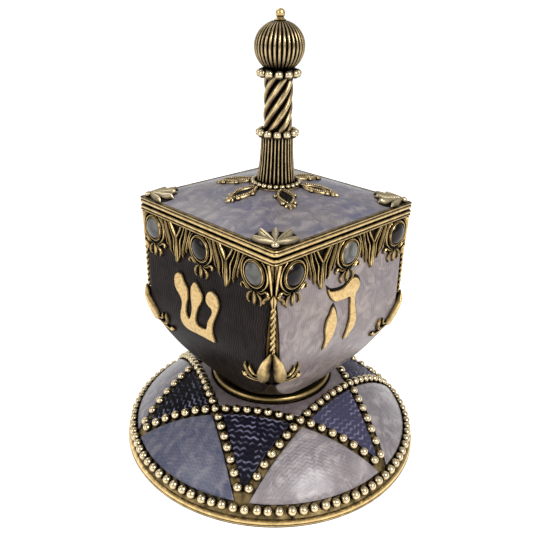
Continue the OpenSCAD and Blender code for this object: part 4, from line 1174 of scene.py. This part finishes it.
class DREIDEL_OT_petals(bpy.types.Operator):
    """Six petals of dark enamel in beaded frames round the stem, and the ring of beads at its foot"""
    bl_idname = "dreidel.petals"
    bl_label = "Petals"

    def execute(self, context):
        frames, fill = Form(), Form()
        start, length, half, inset, first = 5.1, 6.1, 1.5, 0.92, radians(58 - 90)

        def place(u, v, lift):
            return u, v, pillow(u, v) + lift

        def width(t):
            return half * sin(pi * min(max(t, 0.0), 1.0)) ** 0.75
        for s in (-1, 1):
            strap(frames, place, [(start + length * t, s * width(t) * inset, 0.38) for t in shares(10)],
                  0.55, 0.2, 2.0, 3, dark=0.7)
        strap(fill, place, [(start + length * t, 0.0, width(t) * 0.86) for t in shares(10)], 0.3, 0.2, 4.0, 3, 10)
        # Three leaves at the tip, and balls between and beside them
        root = start + length - 0.5
        for angle, reach in ((-42, 1.5), (0, 1.9), (42, 1.5)):
            u, v = reach * cos(radians(angle)), reach * sin(radians(angle))
            strap(frames, place, [(root, 0, 0.2), (root + u * 0.55, v * 0.55, 0.5), (root + u, v, 0.1)],
                  0.6, 0.2, 1.6, 3, dark=0.8)
        for x, y, r in ((root - 0.2, 1.1, 0.5), (root - 0.2, -1.1, 0.5), (root + 0.6, 0.0, 0.46),
                        (start + length * 0.4, half + 0.3, 0.44), (start + length * 0.4, -half - 0.3, 0.44)):
            ball(frames, place(x, y, r * 0.5), r)
        grains = []
        for turn in (a + first for a in turns(6)):
            for t in shares(16)[1:-1]:
                for y in (-width(t) * inset, width(t) * inset):
                    x = start + length * t
                    px, py = x * cos(turn) - y * sin(turn), x * sin(turn) + y * cos(turn)
                    grains.append((px, py, pillow(px, py) + 0.52))
        fit(frames, "petal_settings", "stem_gold", "lid", "antique_gold", "petal_frames", copies=6, turn=first)
        fit(fill, "petal_fills", "ink_enamel", "lid", "navy_enamel", "petal_enamel", copies=6, turn=first)
        bead_string("petal_milgrain", grains, 0.24, 0.12, 17, "stem_gold", "lid", "antique_gold")
        ring = [(4.45 * cos(a), 4.45 * sin(a), LID_TOP_Z + 0.3) for a in turns(24)]
        bead_string("foot_bead_ring", ring, 0.56, 0.06, 19, "bead_gold", "lid", "antique_gold", "foot_beads")
        return {"FINISHED"}


# Stem

def fluted(node, name, outline, ribs, sides, depth, sharpness, stain, turn_length=None):
    """Turns an outline of (radius, height), cuts its flutes and stands it for a node of the stem."""
    form = Form()
    form.lathe([(0.0, outline[0][1])] + outline + [(0.0, outline[-1][1])], ribs * sides)
    piece = make_object(form, name, "stem_gold", 60)
    apply_tree(piece, fluting_tree(), ribs=float(ribs), depth=depth, sharpness=sharpness, stain=stain,
               turns_per_metre=per(turn_length) if turn_length else 0.0, material=MATERIALS["stem_gold"])
    hold(piece, "lid", "antique_gold", node)


class DREIDEL_OT_stem(bpy.types.Operator):
    """Fluted column, collars of beads, twisted column, ribbed globe and the ball on top"""
    bl_idname = "dreidel.stem"
    bl_label = "Stem"

    def execute(self, context):
        stem = settings("stem")
        low, high, _ = extent("fluted_column")
        neck, flare = 3.07, 0.75
        fluted("fluted_column", "fluted_shaft", [(neck + flare * (1 - t) ** 2, low + (high - low) * t)
                                                 for t in shares(24)], stem.column_flutes, 10, 0.11, 2.0, 3.0)
        low, high, _ = extent("twisted_column")
        fluted("twisted_column", "twisted_shaft", [(2.72, low + (high - low) * t) for t in shares(60)],
               stem.strands, 24, 0.24, 1.3, 1.6, turn_length=21.0)

        ring_r, bead_r, disc_r, half = 3.38, 0.79, 2.9, 0.31
        for node in ("lower_collar_beads", "upper_collar_beads"):
            low, high, _ = extent(node)
            middle = (low + high) / 2
            disc = Form()
            disc.lathe([(0.0, middle - half), (disc_r, middle - half), (disc_r + 0.05, middle),
                        (disc_r, middle + half), (0.0, middle + half)], 60)
            fit(disc, node[:5] + "_collar_disc", "dark_gold", "lid", "dark_gold")
            ring = [(ring_r * cos(a), ring_r * sin(a), middle) for a in turns(12, 0.5)]
            bead_string(node[:5] + "_collar_ring", ring, bead_r, 0.04, 23, "bead_gold", "lid", "antique_gold", node)

        low, _, _ = extent("fluted_globe")
        globe_r = 4.6
        tall = globe_r * 0.98
        centre = low + tall * 0.94
        fluted("fluted_globe", "ribbed_globe", [
            (globe_r * cos(t), centre + tall * sin(t)) for t in (radians(-70 + 142 * n) for n in shares(44))],
            stem.globe_ribs, 10, 0.075, 1.4, 2.0)

        low, high, _ = extent("finial")
        form, knob_r = Form(), 0.85
        form.lathe([(0.0, low), (1.02, low), (1.1, low + 0.15), (0.75, low + 0.35), (0.6, low + 0.6),
                    (0.0, low + 0.6)], 40)
        ball(form, (0, 0, high - knob_r), knob_r, 28, 18)
        fit(form, "finial_ball", "gold", "lid", "antique_gold", "finial")
        return {"FINISHED"}


# Stage: the camera was fitted to the photograph, in metres, and turned by its own right and up

CAMERA_PLACE = (0.084699, -0.085652, 0.09294)
CAMERA_RIGHT, CAMERA_UP = Vector((0.68808, 0.72549, 0.01446)), Vector((-0.30894, 0.27486, 0.9105))
LAMP_AIM = Vector((0, 0, 0.04))
# Name, place and size in metres, power in watts
LAMPS = (("key", (0.46, -0.06, 0.42), 0.24, 2.4), ("fill", (-0.12, -0.5, 0.3), 0.3, 0.8),
         ("back", (-0.5, 0.1, 0.5), 0.3, 0.4))
WHITE = (1.0, 1.0, 1.0, 1.0)
FLOOR_HALF, FLOOR_GLOW, SKY_LIGHT, SKY_SHINE = 3000, 0.72, 0.42, 0.58


def backdrop_rays(node):
    """1 for what the camera sees, also in metal and through glass; and the Light Path node."""
    path = node("ShaderNodeLightPath")
    seen = node(MAXIMUM, path.outputs["Is Camera Ray"], path.outputs["Is Glossy Ray"])
    return node(MAXIMUM, seen, path.outputs["Is Transmission Ray"]), path


class DREIDEL_OT_stage(bpy.types.Operator):
    """Pale floor, soft lamps and the camera at the photograph's viewing angle"""
    bl_idname = "dreidel.stage"
    bl_label = "Stage"

    def execute(self, context):
        stage, scene = settings("stage"), context.scene
        MATERIALS["floor"], node = new_material("pale_floor")
        seen, _ = backdrop_rays(node)
        matt = node("ShaderNodeBsdfDiffuse", {"Color": list(stage.floor_colour) + [1.0]})
        glow = node("ShaderNodeEmission", WHITE, node(MULTIPLY, seen, FLOOR_GLOW))
        node(OUTPUT, node("ShaderNodeAddShader", matt, glow))
        floor, far = Form(), FLOOR_HALF
        floor.cap([(-far, -far, 0), (far, -far, 0), (far, far, 0), (-far, far, 0)])
        make_object(floor, "floor", "floor", turn_out=False)

        # The sky is white where it is seen, dimmer as a light, and dimmed in reflections to model the gold
        scene.world = bpy.data.worlds.new("studio")
        scene.world.use_nodes = True
        scene.world.node_tree.nodes.clear()
        node = partial(add, scene.world.node_tree)
        seen, path = backdrop_rays(node)
        dim = node(MULTIPLY, path.outputs["Is Glossy Ray"], 1 - SKY_SHINE)
        strength = node(SUBTRACT, node(RANGE, seen, 0.0, 1.0, SKY_LIGHT, 1.0), dim)
        node("ShaderNodeOutputWorld", node("ShaderNodeBackground", WHITE, strength))

        for name, place, size, power in LAMPS:
            lamp = bpy.data.lights.new(name, "AREA")
            lamp.size, lamp.energy = size, power * stage.lamp_power
            aim = (LAMP_AIM - Vector(place)).to_track_quat("-Z", "Y").to_matrix().to_4x4()
            link(name, lamp).matrix_world = Matrix.Translation(place) @ aim

        camera = bpy.data.cameras.new("camera")
        camera.lens, camera.sensor_width, camera.shift_x = 42.62, 36.0, 0.0207
        camera.clip_start, camera.clip_end = 0.005, 20.0
        scene.camera = link("camera", camera)
        back = CAMERA_RIGHT.cross(CAMERA_UP).normalized()
        axes = Matrix((CAMERA_RIGHT, CAMERA_UP, back)).transposed().to_4x4()
        scene.camera.matrix_world = Matrix.Translation(CAMERA_PLACE) @ axes
        scene.view_settings.view_transform = "Standard"
        return {"FINISHED"}


class DREIDEL_PT_panel(bpy.types.Panel):
    """Lists the pieces and their settings"""
    bl_idname = "DREIDEL_PT_panel"
    bl_label = "Enamelled Dreidel"
    bl_space_type = "VIEW_3D"
    bl_region_type = "UI"
    bl_category = "Dreidel"

    def draw(self, context):
        for operator in OPERATORS:
            self.layout.operator(operator.bl_idname)
        for group, kind in SETTINGS.items():
            box = self.layout.box()
            for name in kind.__annotations__:
                box.prop(settings(group), name)


OPERATORS = [DREIDEL_OT_stand_casting, DREIDEL_OT_stand_enamel, DREIDEL_OT_bead_lines, DREIDEL_OT_face_enamel,
             DREIDEL_OT_letters, DREIDEL_OT_friezes, DREIDEL_OT_stones, DREIDEL_OT_mouldings,
             DREIDEL_OT_corner_trim, DREIDEL_OT_lid_enamel, DREIDEL_OT_corner_leaves, DREIDEL_OT_petals,
             DREIDEL_OT_stem, DREIDEL_OT_stage]
CLASSES = list(SETTINGS.values()) + OPERATORS + [DREIDEL_PT_panel]


def register():
    """Registers every class and hangs the settings on the scene."""
    for item in CLASSES:
        bpy.utils.register_class(item)
    for group, kind in SETTINGS.items():
        setattr(bpy.types.Scene, "dreidel_" + group, PointerProperty(type=kind))


def unregister():
    """Undoes what register did."""
    for group in SETTINGS:
        delattr(bpy.types.Scene, "dreidel_" + group)
    for item in reversed(CLASSES):
        bpy.utils.unregister_class(item)


def main():
    """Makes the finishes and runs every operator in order."""
    register()
    make_materials()
    for operator in OPERATORS:
        group, name = operator.bl_idname.split(".")
        getattr(getattr(bpy.ops, group), name)()


if __name__ == "__main__":
    main()
